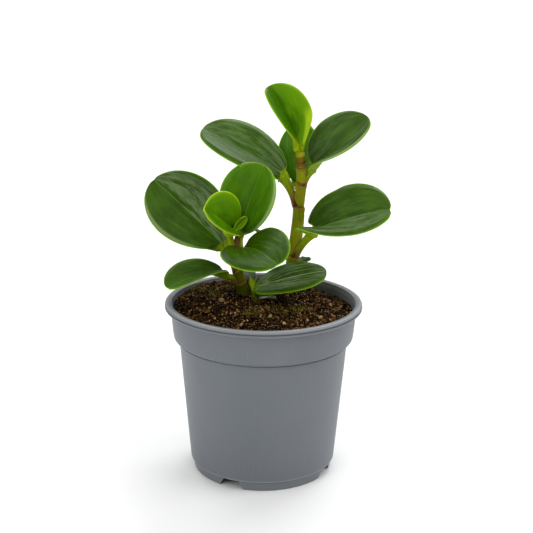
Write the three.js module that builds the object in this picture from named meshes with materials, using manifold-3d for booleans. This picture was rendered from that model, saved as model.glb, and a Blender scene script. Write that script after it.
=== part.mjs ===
// A potted peperomia: a fleshy-leaved house plant in a round nursery pot.
// Millimetres, +Z up, origin at the centre of the circle the pot's foot stands on.
// The plant's front faces -Y, and +X is to the right seen from the front.

import * as THREE from 'three';
import { mergeVertices } from 'three/addons/utils/BufferGeometryUtils.js';
import Module from 'manifold-3d';

const wasm = await Module();
wasm.setup();

// ---------- driving dimensions ----------

const CLEARANCE = 0.3;           // gap kept between pieces that touch

// Pot
const RIM_RADIUS = 60;           // a 12 cm pot, measured over the rim
const POT_HEIGHT = 106.4;
const RIM_LIP_DROP = 3.2;        // height of the rim's outer face
const WALL = 1.1;
const RIM_INNER_RADIUS = 55.8;
const COLLAR_RADIUS = 55.9;      // the wider stacking collar under the rim
const COLLAR_BOTTOM_RADIUS = 54.6;
const COLLAR_BOTTOM_Z = 84;
const BODY_TOP_RADIUS = 51.2;
const BODY_TOP_Z = 77.5;
const SHOULDER_RUN = 1.5;        // the rounded step from the body out to the collar
const SHOULDER_RISE = 2.5;
const BODY_BOTTOM_RADIUS = 44.8;
const FOOT_RADIUS = 42.7;
const FOOT_HEIGHT = 5.8;
const FOOT_WALL = 1.5;
const FLOOR_Z = 4;               // underside of the floor's middle
const FLOOR_THICKNESS = 1.2;
const FLOOR_STEP_RADIUS = 39.4;  // where the floor steps down to its middle
const POT_SIDES = 40;
const POT_COLOUR = 0x70757a;

// Drainage: a notch through the foot ring and a hole in the floor, every quarter turn
const NOTCH_FIRST_ANGLE = -116;  // degrees about Z from +X
const NOTCH_COUNT = 4;
const NOTCH_WIDTH_BOTTOM = 17;
const NOTCH_WIDTH_TOP = 10.5;
const NOTCH_HEIGHT = 5.4;
const DRAIN_RADIUS = 3.5;
const DRAIN_CIRCLE = 27;
const DRAIN_SIDES = 8;
const CUTTER_DEPTH = 8;          // how far a notch or a drain is cut through the plastic

// Soil
const SOIL_EDGE_Z = 99.6;
const SOIL_MOUND = 2.6;          // rise of the soil towards the stems
const SOIL_GRAIN = 0.9;          // largest lift or dip of the crumbs
const SOIL_RINGS = 11;
const SOIL_SEED = 29;
const SOIL_COLOUR = 0x35271a;

// Stems
const STEM_SIDES = 10;
const NODE_SWELL = 0.45;         // how far a node ring stands out
const NODE_SPREAD = 1.6;

// Leaves
const BLADE_THICKNESS = 1.4;
const MARGIN_THICKNESS = 0.8;
const BLADE_ROWS = 10;           // from base to tip
const BLADE_COLUMNS = 6;         // from margin to margin
const OUTLINE_BASE = 0.55;       // powers that shape the outline towards the base
const OUTLINE_TIP = 0.5;         // and towards the tip
const PETIOLE_STEPS = 8;
const PETIOLE_SIDES = 8;
const PETIOLE_LEAN = 0.35;       // how early a petiole turns into line with its midrib
const RIB_REACH = 5;             // how far a petiole runs on under its blade
const RIB_RADIUS = 0.7;

// The tall stem, the short stem and the side shoot: points up the middle, and radii at both ends.
// nodes are the heights of the rings where leaves grow.
const STEMS = {
  stem_tall: {
    path: [[13.5, 30, 78], [14.8, 30, 103.2], [17.7, 30, 122], [20, 29, 149], [20.6, 28.5, 160],
      [22.8, 28, 172.6], [22.2, 27.5, 184], [21.5, 27, 192]],
    radii: [3.9, 2.5],
    nodes: [112, 126, 158, 172.5, 184],
    steps: 40,
    colour: 0x6f6a1e,
  },
  stem_short: {
    path: [[-10.5, 20, 80], [-12.3, 19, 102], [-16, 17, 119], [-17.2, 16, 126], [-17, 13.5, 134],
      [-16.9, 12.4, 140]],
    radii: [4.2, 1.9],
    nodes: [114, 121, 134],
    steps: 26,
    colour: 0x53561a,
  },
  stem_side: {
    path: [[-4.2, 12, 84], [-4.6, 11, 102], [-5.5, 11, 108.5]],
    radii: [3, 2.6],
    nodes: [104],
    steps: 12,
    colour: 0x4c6a1c,
  },
};

// The closed bud beside the side shoot's leaf. belly is how far its middle swells.
const BUD = {
  path: [[-5.2, 11.9, 107], [-4.4, 12.7, 111], [-4.2, 13.3, 115.5]],
  radii: [1.5, 0.5],
  belly: 0.3,
  steps: 5,
};

// One entry for each leaf.
//   stem, from   the stem it grows on, and the point in the stem where its stalk starts
//   base         where the blade starts
//   heading      degrees about Z from +X, the way the midrib leaves the base
//   pitch, roll  rise of the midrib, then turn about it; at roll 0 the blade's face looks up
//   size         length and full width of the blade
//   arch         degrees that the midrib bends down from base to tip
//   fold         degrees that each half is raised, and the extra raise at the base
//   lobe         how far the halves reach back past the base, as a share of the length
//   stalk        radius at the stem and at the blade
const LEAVES = {
  leaf_tall_top: {
    stem: 'stem_tall', from: [22.2, 27.5, 186], base: [21.5, 27, 195],
    heading: 185, pitch: 70, roll: -59, size: [43, 32], arch: 28, fold: [31, 24], lobe: 0.05,
    stalk: [2.4, 2.2], colour: 0x5e9a12,
  },
  leaf_tall_left: {
    stem: 'stem_tall', from: [20.4, 28.5, 159], base: [11.5, 32, 178],
    heading: 168, pitch: 31, roll: -26, size: [58, 41], arch: 12, fold: [10, 6], lobe: 0,
    stalk: [2.6, 2.3], colour: 0x3f5a2c,
  },
  leaf_tall_right: {
    stem: 'stem_tall', from: [22.8, 28, 171.5], base: [29, 30, 183],
    heading: 6, pitch: 44, roll: 35, size: [46, 35], arch: 6, fold: [18, 24], lobe: 0.02,
    stalk: [2.6, 2.2], colour: 0x35591f,
  },
  leaf_tall_low_right: {
    stem: 'stem_tall', from: [18.4, 29.8, 126], base: [29.3, 18, 147.5],
    heading: -15, pitch: 23, roll: 44, size: [52.5, 40], arch: 3, fold: [11, 25], lobe: 0.07,
    stalk: [2.8, 2.8], colour: 0x3c5a28,
  },
  leaf_tall_back: {
    stem: 'stem_tall', from: [23.6, 28.2, 173.5], base: [19.5, 43, 169.6],
    heading: 70, pitch: 74, roll: 8, size: [44, 27], arch: 8, fold: [10, 10], lobe: 0.02,
    stalk: [2, 1.9], colour: 0x2f5018,
  },
  leaf_tall_low_left: {
    stem: 'stem_tall', from: [17.8, 30, 122], base: [10.5, 31, 129],
    heading: 162, pitch: 42, roll: 25, size: [21, 19], arch: 12, fold: [10, 15], lobe: 0.02,
    stalk: [1.8, 1.6], colour: 0x46602f,
  },
  leaf_tall_low_back: {
    stem: 'stem_tall', from: [16.2, 30, 111], base: [20.5, 36, 116.5],
    heading: 52, pitch: 27, roll: -10, size: [15, 17], arch: 20, fold: [10, 10], lobe: 0.02,
    stalk: [1.6, 1.4], colour: 0x3a5c1e,
  },
  leaf_short_left: {
    stem: 'stem_short', from: [-16.7, 16.3, 121], base: [-25.2, 24, 134],
    heading: 155, pitch: 38, roll: -50, size: [62, 46], arch: 3, fold: [3, 33], lobe: 0.02,
    stalk: [2.4, 2.6], colour: 0x3a5c24,
  },
  leaf_short_back: {
    stem: 'stem_short', from: [-14.6, 14.6, 132.5], base: [-15.5, 15, 145.2],
    heading: -12, pitch: 72, roll: 76, size: [44, 39], arch: 8, fold: [19, 14], lobe: 0.02,
    stalk: [1.6, 1.8], colour: 0x3c6a10,
  },
  leaf_short_young: {
    stem: 'stem_short', from: [-18.8, 12.2, 132.5], base: [-20, 9, 149],
    heading: 257, pitch: 36, roll: -83, size: [35, 29], arch: 33, fold: [23, 36], lobe: 0.03,
    stalk: [1.5, 1.7], colour: 0x5d8f14,
    tip: { base: [-18.5, 4, 148.5], heading: 35, pitch: 39, roll: 66, size: [12, 6], arch: -11,
      fold: [26, 8], lobe: 0.04 },
  },
  leaf_short_front: {
    stem: 'stem_short', from: [-17.2, 15.8, 127.5], base: [-12.5, 1.5, 138.8],
    heading: -77, pitch: 24, roll: 23, size: [49, 41], arch: 51, fold: [4, 20], lobe: 0.04,
    stalk: [2.2, 2], colour: 0x3f6426,
  },
  leaf_short_low: {
    stem: 'stem_short', from: [-15, 17.6, 113.5], base: [-24, 16, 118.5],
    heading: 219, pitch: 13, roll: -7, size: [43, 30], arch: 36, fold: [19, 11], lobe: 0.02,
    stalk: [2.4, 2.2], colour: 0x3d6124,
  },
  leaf_side: {
    stem: 'stem_side', from: [-5, 10.6, 105], base: [-4, 6, 112.3],
    heading: 1, pitch: 20, roll: 19, size: [43, 32], arch: 15, fold: [2, 3], lobe: 0.02,
    stalk: [2.2, 2.4], colour: 0x3c5a26,
  },
  leaf_side_small: {
    stem: 'stem_side', from: [-4.9, 11.8, 104.5], base: [-7.5, 20, 111.5],
    heading: 105, pitch: 30, roll: 0, size: [13, 9], arch: 15, fold: [10, 10], lobe: 0.02,
    stalk: [1.5, 1.3], colour: 0x4a6a3a,
  },
};

// ---------- solids ----------

const degrees = THREE.MathUtils.degToRad;
const vector = (point) => new THREE.Vector3(...point);

// A small seeded generator, so that the soil is the same each time.
function randomSource(seed) {
  let state = seed;
  return () => {
    state = (state * 16807) % 2147483647;
    return state / 2147483647;
  };
}

// Keeps only positions, joins the shared vertices and drops triangles that have collapsed.
function weld(geometry) {
  const bare = new THREE.BufferGeometry();
  bare.setAttribute('position', geometry.getAttribute('position').clone());
  if (geometry.index) bare.setIndex(geometry.index.clone());
  const merged = mergeVertices(bare, 1e-3);
  const corners = Array.from(merged.index.array);
  const kept = [];
  for (let i = 0; i < corners.length; i += 3) {
    const [a, b, c] = corners.slice(i, i + 3);
    if (a !== b && b !== c && c !== a) kept.push(a, b, c);
  }
  merged.setIndex(kept);
  return merged;
}

// Six times the signed volume: negative when the faces point inwards.
function signedVolume(geometry) {
  const place = geometry.getAttribute('position');
  const index = geometry.index.array;
  const [a, b, c] = [new THREE.Vector3(), new THREE.Vector3(), new THREE.Vector3()];
  let sum = 0;
  for (let i = 0; i < index.length; i += 3) {
    a.fromBufferAttribute(place, index[i]);
    b.fromBufferAttribute(place, index[i + 1]);
    c.fromBufferAttribute(place, index[i + 2]);
    sum += a.dot(b.cross(c));
  }
  return sum;
}

function solid(geometry) {
  const welded = weld(geometry);
  const triangles = Uint32Array.from(welded.index.array);
  if (signedVolume(welded) < 0) triangles.reverse();
  const places = Float32Array.from(welded.getAttribute('position').array);
  return new wasm.Manifold(new wasm.Mesh({ numProp: 3, vertProperties: places, triVerts: triangles }));
}

function geometryOf(manifold) {
  const mesh = manifold.getMesh();
  const geometry = new THREE.BufferGeometry();
  geometry.setAttribute('position', new THREE.BufferAttribute(mesh.vertProperties, 3));
  geometry.setIndex(new THREE.BufferAttribute(mesh.triVerts, 1));
  return geometry;
}

function surface(points, triangles) {
  const geometry = new THREE.BufferGeometry();
  const places = points.flatMap((point) => [point.x, point.y, point.z]);
  geometry.setAttribute('position', new THREE.Float32BufferAttribute(places, 3));
  geometry.setIndex(triangles);
  return geometry;
}

// A closed round bar along a smooth path, with its radius given at each share of the way.
function bar(points, radiusAt, steps, sides) {
  const curve = new THREE.CatmullRomCurve3(points, false, 'centripetal');
  const frames = curve.computeFrenetFrames(steps, false);
  const rings = [];
  for (let i = 0; i <= steps; i += 1) {
    const centre = curve.getPointAt(i / steps);
    const radius = radiusAt(i / steps, centre);
    for (let j = 0; j < sides; j += 1) {
      const turn = (2 * Math.PI * j) / sides;
      const point = centre.clone();
      point.addScaledVector(frames.normals[i], radius * Math.cos(turn));
      point.addScaledVector(frames.binormals[i], radius * Math.sin(turn));
      rings.push(point);
    }
  }
  const start = rings.push(points[0].clone()) - 1;
  const end = rings.push(points[points.length - 1].clone()) - 1;
  const triangles = [];
  for (let i = 0; i < steps; i += 1) {
    for (let j = 0; j < sides; j += 1) {
      const a = i * sides + j;
      const b = i * sides + ((j + 1) % sides);
      triangles.push(a, b, b + sides, a, b + sides, a + sides);
    }
  }
  for (let j = 0; j < sides; j += 1) {
    const next = (j + 1) % sides;
    triangles.push(start, next, j, end, steps * sides + j, steps * sides + next);
  }
  return solid(surface(rings, triangles));
}

// ---------- pot ----------

function potProfile() {
  const lip = POT_HEIGHT - RIM_LIP_DROP;
  const floorTop = FLOOR_Z + FLOOR_THICKNESS;
  const step = FOOT_HEIGHT + FLOOR_THICKNESS;
  return [
    [0, FLOOR_Z],
    [FLOOR_STEP_RADIUS - 0.3, FLOOR_Z],
    [FLOOR_STEP_RADIUS, FOOT_HEIGHT],
    [FOOT_RADIUS - FOOT_WALL, FOOT_HEIGHT],
    [FOOT_RADIUS - FOOT_WALL, 0],
    [FOOT_RADIUS, 0],
    [FOOT_RADIUS + 0.5, FOOT_HEIGHT - 0.2],
    [BODY_BOTTOM_RADIUS - 0.4, FOOT_HEIGHT],
    [BODY_BOTTOM_RADIUS, FOOT_HEIGHT + 0.7],
    [BODY_TOP_RADIUS, BODY_TOP_Z],
    [BODY_TOP_RADIUS + SHOULDER_RUN, BODY_TOP_Z + SHOULDER_RISE],
    [COLLAR_BOTTOM_RADIUS - 0.6, COLLAR_BOTTOM_Z - 2],
    [COLLAR_BOTTOM_RADIUS, COLLAR_BOTTOM_Z],
    [COLLAR_RADIUS, lip - 7.7],
    [COLLAR_RADIUS + 0.3, lip - 0.8],
    [RIM_RADIUS - 0.8, lip - 0.6],
    [RIM_RADIUS - 0.1, lip],
    [RIM_RADIUS, lip + 0.6],
    [RIM_RADIUS - 0.4, POT_HEIGHT - 1.2],
    [RIM_RADIUS - 1.4, POT_HEIGHT],
    [RIM_INNER_RADIUS, POT_HEIGHT],
    [COLLAR_RADIUS - WALL, lip - 2],
    [COLLAR_BOTTOM_RADIUS - WALL, COLLAR_BOTTOM_Z - 1],
    [BODY_TOP_RADIUS - WALL, BODY_TOP_Z - WALL / 2],
    [BODY_BOTTOM_RADIUS - WALL, step],
    [FLOOR_STEP_RADIUS - WALL, step],
    [FLOOR_STEP_RADIUS - WALL - 0.3, floorTop],
    [0, floorTop],
  ];
}

// Turns a profile of radii and heights about Z. The profile starts and ends on the axis.
function turned(profile, sides) {
  const geometry = new THREE.LatheGeometry(profile.map(([r, z]) => new THREE.Vector2(r, z)), sides);
  return solid(geometry.rotateX(Math.PI / 2));
}

// A wedge that opens the foot ring: wider at the bottom, and only as deep as the ring.
function notch(angle) {
  const shape = new THREE.Shape();
  const below = 1;
  const slope = (NOTCH_WIDTH_BOTTOM - NOTCH_WIDTH_TOP) / 2 / NOTCH_HEIGHT;
  shape.moveTo(-NOTCH_WIDTH_BOTTOM / 2 - slope * below, -below);
  shape.lineTo(NOTCH_WIDTH_BOTTOM / 2 + slope * below, -below);
  shape.lineTo(NOTCH_WIDTH_TOP / 2, NOTCH_HEIGHT);
  shape.lineTo(-NOTCH_WIDTH_TOP / 2, NOTCH_HEIGHT);
  const geometry = new THREE.ExtrudeGeometry(shape, { depth: CUTTER_DEPTH, bevelEnabled: false });
  geometry.rotateX(Math.PI / 2);
  geometry.translate(0, CUTTER_DEPTH / 2 - FOOT_RADIUS, 0);
  geometry.rotateZ(degrees(angle + 90));
  return solid(geometry);
}

function drain(angle, distance) {
  const geometry = new THREE.CylinderGeometry(DRAIN_RADIUS, DRAIN_RADIUS, CUTTER_DEPTH, DRAIN_SIDES);
  geometry.rotateX(Math.PI / 2);
  geometry.translate(distance, 0, FLOOR_Z);
  geometry.rotateZ(degrees(angle));
  return solid(geometry);
}

function pot() {
  let body = turned(potProfile(), POT_SIDES).subtract(drain(0, 0));
  for (let i = 0; i < NOTCH_COUNT; i += 1) {
    const angle = NOTCH_FIRST_ANGLE + (i * 360) / NOTCH_COUNT;
    body = body.subtract(notch(angle)).subtract(drain(angle, DRAIN_CIRCLE));
  }
  return body;
}

// ---------- stems ----------

function stemRadius(stem, centre) {
  const bottom = stem.path[0][2];
  const top = stem.path[stem.path.length - 1][2];
  const share = THREE.MathUtils.clamp((centre.z - bottom) / (top - bottom), 0, 1);
  let radius = THREE.MathUtils.lerp(stem.radii[0], stem.radii[1], share * share);
  for (const node of stem.nodes) {
    radius += NODE_SWELL * Math.exp(-(((centre.z - node) / NODE_SPREAD) ** 2));
  }
  return radius;
}

// The stem's own solid with grow 0, or the room that it takes in its neighbours with grow above 0.
function stemSolid(stem, grow) {
  const points = stem.path.map(vector);
  points[0].z -= grow;
  points[points.length - 1].z += grow;
  return bar(points, (share, centre) => stemRadius(stem, centre) + grow, stem.steps, STEM_SIDES);
}

function bud() {
  const radiusAt = (share) => {
    return THREE.MathUtils.lerp(...BUD.radii, share) + BUD.belly * Math.sin(Math.PI * share);
  };
  return bar(BUD.path.map(vector), radiusAt, BUD.steps, PETIOLE_SIDES);
}

// ---------- soil ----------

function soilRadius() {
  const share = (SOIL_EDGE_Z - COLLAR_BOTTOM_Z) / (POT_HEIGHT - RIM_LIP_DROP - 2 - COLLAR_BOTTOM_Z);
  return THREE.MathUtils.lerp(COLLAR_BOTTOM_RADIUS, COLLAR_RADIUS, share) - WALL - 2 * CLEARANCE;
}

// The soil fills the pot down to its floor. Its top is mounded and crumbly.
function soil() {
  const random = randomSource(SOIL_SEED);
  const edge = soilRadius();
  const floorTop = FLOOR_Z + FLOOR_THICKNESS + CLEARANCE;
  const step = FOOT_HEIGHT + FLOOR_THICKNESS + CLEARANCE;
  const inside = WALL + 2 * CLEARANCE;
  const side = [
    [BODY_TOP_RADIUS + SHOULDER_RUN - CLEARANCE - inside, BODY_TOP_Z + SHOULDER_RISE - WALL / 2],
    [BODY_TOP_RADIUS - inside, BODY_TOP_Z - WALL / 2],
    [BODY_BOTTOM_RADIUS - inside, step],
    [FLOOR_STEP_RADIUS - WALL - 2 * CLEARANCE, step],
    [FLOOR_STEP_RADIUS - WALL - 3 * CLEARANCE, floorTop],
  ];
  const points = [new THREE.Vector3(0, 0, SOIL_EDGE_Z + SOIL_MOUND)];
  const addRing = (radius, heightAt) => {
    for (let j = 0; j < POT_SIDES; j += 1) {
      const turn = (2 * Math.PI * j) / POT_SIDES;
      points.push(new THREE.Vector3(radius * Math.cos(turn), radius * Math.sin(turn), heightAt()));
    }
  };
  for (let i = 1; i <= SOIL_RINGS; i += 1) {
    const share = i / SOIL_RINGS;
    const level = SOIL_EDGE_Z + SOIL_MOUND * (1 - share * share);
    addRing(edge * share, () => level + (random() * 2 - 1) * SOIL_GRAIN);
  }
  for (const [radius, z] of side) addRing(radius, () => z);
  const bottom = points.push(new THREE.Vector3(0, 0, floorTop)) - 1;

  const triangles = [];
  const rings = SOIL_RINGS + side.length;
  for (let j = 0; j < POT_SIDES; j += 1) {
    const next = (j + 1) % POT_SIDES;
    triangles.push(0, 1 + j, 1 + next);
    for (let i = 0; i < rings - 1; i += 1) {
      const a = 1 + i * POT_SIDES;
      const b = a + POT_SIDES;
      triangles.push(a + j, b + j, b + next, a + j, b + next, a + next);
    }
    const last = 1 + (rings - 1) * POT_SIDES;
    triangles.push(bottom, last + next, last + j);
  }
  let ground = solid(surface(points, triangles));
  for (const stem of Object.values(STEMS)) ground = ground.subtract(stemSolid(stem, CLEARANCE));
  return ground;
}

// ---------- leaves ----------

// Half the blade's width at a share of its length: round at both ends and widest past the middle.
function outline(share) {
  const widest = OUTLINE_BASE / (OUTLINE_BASE + OUTLINE_TIP);
  const peak = widest ** OUTLINE_BASE * (1 - widest) ** OUTLINE_TIP;
  return (share ** OUTLINE_BASE * (1 - share) ** OUTLINE_TIP) / peak;
}

// The blade's own axes: along the midrib at its base, to its left, and out of its upper face.
function bladeAxes(leaf) {
  const [heading, pitch, roll] = [leaf.heading, leaf.pitch, leaf.roll].map(degrees);
  const along = new THREE.Vector3(
    Math.cos(pitch) * Math.cos(heading), Math.cos(pitch) * Math.sin(heading), Math.sin(pitch));
  const left = new THREE.Vector3(-Math.sin(heading), Math.cos(heading), 0).applyAxisAngle(along, roll);
  return { along, left, up: along.clone().cross(left) };
}

// A point of the blade's middle surface: share runs from base to tip, side from -1 to 1.
function bladePoint(leaf, axes, share, side) {
  const [length, width] = leaf.size;
  const arch = degrees(leaf.arch);
  const bend = share * arch;
  const out = Math.abs(side) * (width / 2) * outline(share);
  const fold = degrees(leaf.fold[0] + leaf.fold[1] * (1 - share) ** 2);
  const rise = out * Math.sin(fold);
  const back = leaf.lobe * length * Math.abs(side) ** 1.5 * (1 - share) ** 5;
  const x = (length / arch) * Math.sin(bend) + rise * Math.sin(bend) - back * Math.cos(bend);
  const z = -(length / arch) * (1 - Math.cos(bend)) + rise * Math.cos(bend) + back * Math.sin(bend);
  const y = Math.sign(side) * out * Math.cos(fold);
  return vector(leaf.base)
    .addScaledVector(axes.along, x)
    .addScaledVector(axes.left, y)
    .addScaledVector(axes.up, z);
}

// A closed blade: the middle surface moved both ways along its normals, and joined at the margin.
function blade(leaf) {
  const axes = bladeAxes(leaf);
  const points = [bladePoint(leaf, axes, 0, 0)];
  const halfThickness = [BLADE_THICKNESS / 2];
  for (let i = 1; i < BLADE_ROWS; i += 1) {
    const share = (1 - Math.cos((Math.PI * i) / BLADE_ROWS)) / 2;
    for (let j = 0; j <= BLADE_COLUMNS; j += 1) {
      const side = (2 * j) / BLADE_COLUMNS - 1;
      points.push(bladePoint(leaf, axes, share, side));
      halfThickness.push(THREE.MathUtils.lerp(BLADE_THICKNESS, MARGIN_THICKNESS, side * side) / 2);
    }
  }
  const tip = points.push(bladePoint(leaf, axes, 1, 0)) - 1;
  halfThickness.push(MARGIN_THICKNESS / 2);

  const across = BLADE_COLUMNS + 1;
  const row = (i) => 1 + (i - 1) * across;
  const upper = [];
  for (let j = 0; j < BLADE_COLUMNS; j += 1) {
    upper.push(0, row(1) + j, row(1) + j + 1);
    upper.push(tip, row(BLADE_ROWS - 1) + j + 1, row(BLADE_ROWS - 1) + j);
    for (let i = 1; i < BLADE_ROWS - 1; i += 1) {
      const a = row(i) + j;
      const b = row(i + 1) + j;
      upper.push(a, b, b + 1, a, b + 1, a + 1);
    }
  }
  const middle = surface(points, upper);
  middle.computeVertexNormals();
  const normals = middle.getAttribute('normal');
  const shifted = (direction) => points.map((point, i) => {
    const normal = new THREE.Vector3().fromBufferAttribute(normals, i);
    return point.clone().addScaledVector(normal, direction * halfThickness[i]);
  });

  const margin = [0];
  for (let i = 1; i < BLADE_ROWS; i += 1) margin.push(row(i));
  margin.push(tip);
  for (let i = BLADE_ROWS - 1; i >= 1; i -= 1) margin.push(row(i) + BLADE_COLUMNS);

  const count = points.length;
  const triangles = [...upper];
  for (let i = 0; i < upper.length; i += 3) {
    triangles.push(upper[i] + count, upper[i + 2] + count, upper[i + 1] + count);
  }
  margin.forEach((a, i) => {
    const b = margin[(i + 1) % margin.length];
    triangles.push(a, a + count, b + count, a, b + count, b);
  });
  return solid(surface([...shifted(1), ...shifted(-1)], triangles));
}

// The stalk runs from the stem to the blade's base and on as the thick start of the midrib.
function petiole(leaf) {
  const axes = bladeAxes(leaf);
  const start = vector(leaf.from);
  const base = vector(leaf.base);
  const reach = start.distanceTo(base);
  const bend = base.clone().addScaledVector(axes.along, -PETIOLE_LEAN * reach).lerp(start, 0.5);
  const underside = -BLADE_THICKNESS / 2;
  const rib = bladePoint(leaf, axes, RIB_REACH / leaf.size[0], 0).addScaledVector(axes.up, underside);
  const end = reach / (reach + RIB_REACH);
  const radiusAt = (share) => {
    if (share < end) return THREE.MathUtils.lerp(leaf.stalk[0], leaf.stalk[1], share / end);
    return THREE.MathUtils.lerp(leaf.stalk[1], RIB_RADIUS, (share - end) / (1 - end));
  };
  return bar([start, bend, base, rib], radiusAt, PETIOLE_STEPS, PETIOLE_SIDES);
}

// The biggest body of a solid: cutting a stalk at its stem leaves scraps on the stem's far side.
function mainBody(manifold) {
  return manifold.decompose().reduce((best, body) => (body.volume() > best.volume() ? body : best));
}

// Blade and stalk grown together, cut to sit against the stem.
function leafSolid(leaf) {
  let grown = blade(leaf).add(petiole(leaf));
  if (leaf.tip) grown = grown.add(blade(leaf.tip));
  return mainBody(grown.subtract(stemSolid(STEMS[leaf.stem], CLEARANCE)));
}

// ---------- assembly ----------

const plant = new THREE.Group();

function addPiece(name, manifold, colour, roughness) {
  const material = new THREE.MeshStandardMaterial({ color: colour, roughness, metalness: 0 });
  const mesh = new THREE.Mesh(geometryOf(manifold), material);
  mesh.name = name;
  plant.add(mesh);
}

addPiece('pot', pot(), POT_COLOUR, 0.5);
addPiece('soil', soil(), SOIL_COLOUR, 0.95);
for (const [name, stem] of Object.entries(STEMS)) {
  const shape = stemSolid(stem, 0);
  addPiece(name, name === 'stem_side' ? shape.add(bud()) : shape, stem.colour, 0.5);
}
for (const [name, leaf] of Object.entries(LEAVES)) addPiece(name, leafSolid(leaf), leaf.colour, 0.35);

export default plant;
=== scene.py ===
# The looks of a potted peperomia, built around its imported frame.
# Metres, +Z up, the pot's foot stands on the ground and its front faces -Y. Sizes below are in millimetres
# and are brought to metres where a mesh is made.

import functools
import math

import bpy
import numpy as np
from mathutils import Matrix, Quaternion, Vector


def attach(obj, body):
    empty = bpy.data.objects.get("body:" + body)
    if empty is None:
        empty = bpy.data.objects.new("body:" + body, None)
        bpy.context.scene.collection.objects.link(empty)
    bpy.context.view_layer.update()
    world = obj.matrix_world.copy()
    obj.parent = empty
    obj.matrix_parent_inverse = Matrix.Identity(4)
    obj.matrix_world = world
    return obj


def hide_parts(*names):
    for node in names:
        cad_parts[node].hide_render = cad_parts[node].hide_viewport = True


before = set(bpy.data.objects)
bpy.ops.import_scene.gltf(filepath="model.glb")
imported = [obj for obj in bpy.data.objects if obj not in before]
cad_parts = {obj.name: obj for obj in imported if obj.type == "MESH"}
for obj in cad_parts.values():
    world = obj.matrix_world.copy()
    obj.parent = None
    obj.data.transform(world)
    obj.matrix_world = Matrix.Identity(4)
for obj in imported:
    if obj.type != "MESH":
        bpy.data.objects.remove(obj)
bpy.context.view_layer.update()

MM = 0.001

# ---------- view ----------

PHOTO_PIXELS = 533
FOCAL_PIXELS = 1155          # focal length in pixels of the photograph
SENSOR = 36.0
CAMERA_PLACE = (-0.0002, -0.66967, 0.321253)     # in metres
CAMERA_PITCH = 16.13         # degrees down
CAMERA_ROLL = -0.516
WORLD_LIGHT = 0.06
FLOOR_REACH = 14000          # half the width of the floor
# The direction to each box, its width in degrees and its strength.
LIGHT_BOXES = {
    "overhead_box": ((-0.10, -0.05, 1.0), 115, 1.75),
    "back_box": ((0.30, 0.64, 0.71), 40, 1.4),
    "right_box": ((0.75, -0.12, 0.65), 40, 1.0),
    "back_left_box": ((-0.32, 0.60, 0.73), 26, 0.50),
    "front_left_box": ((-0.37, -0.64, 0.67), 34, 0.35),
    "low_left_box": ((-0.66, -0.66, 0.38), 24, 0.45),
}

# ---------- pot ----------

RIM_RADIUS = 60
POT_HEIGHT = 106.4
RIM_LIP_DROP = 3.2
WALL = 1.1
COLLAR_RADIUS = 55.9
COLLAR_BOTTOM_RADIUS = 54.6
COLLAR_BOTTOM_Z = 84
BODY_TOP_RADIUS = 51.2
BEAD_Z = 81.6                # lower edge of the bead where the body meets the collar
BODY_BOTTOM_RADIUS = 44.8
FOOT_RADIUS = 42.7
FOOT_HEIGHT = 5.8
FOOT_WALL = 1.5
FLOOR_Z = 4
FLOOR_THICKNESS = 1.2
FLOOR_STEP_RADIUS = 39.4
NOTCH_FIRST_ANGLE = -116
NOTCH_COUNT = 4
NOTCH_WIDTH_BOTTOM = 17
NOTCH_WIDTH_TOP = 10.5
NOTCH_HEIGHT = 5.4
NOTCH_ROUNDING = 1.0
DRAIN_RADIUS = 3.5
DRAIN_CIRCLE = 27
DRAIN_SIDES = 40
CUT_REACH = 3                # how far a notch's or hole's cutter stands out on both sides
POT_SIDES = 216
POT_SHARP_ANGLE = 38         # degrees; flatter edges are shaded smooth
# The rounded bead, and the rolled rim with its grooves: radius and height from the body's top radius and
# BEAD_Z, and from the rim's radius and the pot's height, and the rounding of each corner.
BEAD = (
    (0.15, 0, 0.2), (1.15, 0.3, 0.2), (1.35, 0.8, 0.2), (0.85, 1.3, 0.3), (1.6, 1.8, 0.5),
)
RIM = (
    (-0.8, -3.8, 0.3), (-0.1, -3.2, 0.5), (0, -2.6, 0.3), (-0.03, -2.2, 0.15),
    (-0.85, -1.9, 0.12), (-0.15, -1.6, 0.15), (-0.20, -1.05, 0.15), (-0.60, -0.80, 0.12),
    (-0.45, -0.50, 0.15), (-1.0, -0.1, 0.4), (-1.55, 0, 0.1), (-1.75, -0.16, 0.1),
    (-1.95, 0, 0.1), (-2.50, 0, 0.1), (-2.70, -0.14, 0.1), (-2.90, -0.02, 0.1),
    (-3.5, -0.05, 0.1), (-3.7, -0.20, 0.1), (-4.0, -0.22, 0.1), (-4.2, -0.60, 0.3),
)

# ---------- soil ----------

SOIL_EDGE_Z = 99.6
SOIL_MOUND = 2.6
SOIL_LIFT = 4.6              # how much higher the soil lies at the back on the left
SOIL_RADIUS = 54.5
SOIL_BOTTOM_Z = 5.6
SOIL_RINGS = 150
SOIL_SIDES = 300
GRAIN_SEED, FIBRE_SEED, MOSS_SEED = 17, 23, 31
# The unevenness of its top: height, width and seed of each kind of bump.
SOIL_BUMPS = ((0.75, 13, 3), (0.5, 5, 4), (0.42, 2.1, 5), (0.3, 0.95, 6))
# The loose grains: how many, their radii from and to, how finely each is cut, and how far its tone strays.
GRAINS = {
    "soil_crumbs": (8500, 0.30, 0.85, 0, 0.31),
    "soil_lumps": (560, 0.75, 1.6, 1, 0.26),
}
# Places and radii of the pale lumps.
PALE_LUMPS = (
    (-26.2, 7.5, 2.0), (4, -18, 1.3), (34, -17, 1.4), (-13, -33, 1.1), (20, 4, 1.2), (41, 6, 1.3),
)
FIBRE_COUNT = 130
FIBRE_LENGTHS = (2.5, 8)
FIBRE_RADII = (0.10, 0.24)
MOSS_COUNT = 1500
MOSS_RADII = (0.22, 0.55)
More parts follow.
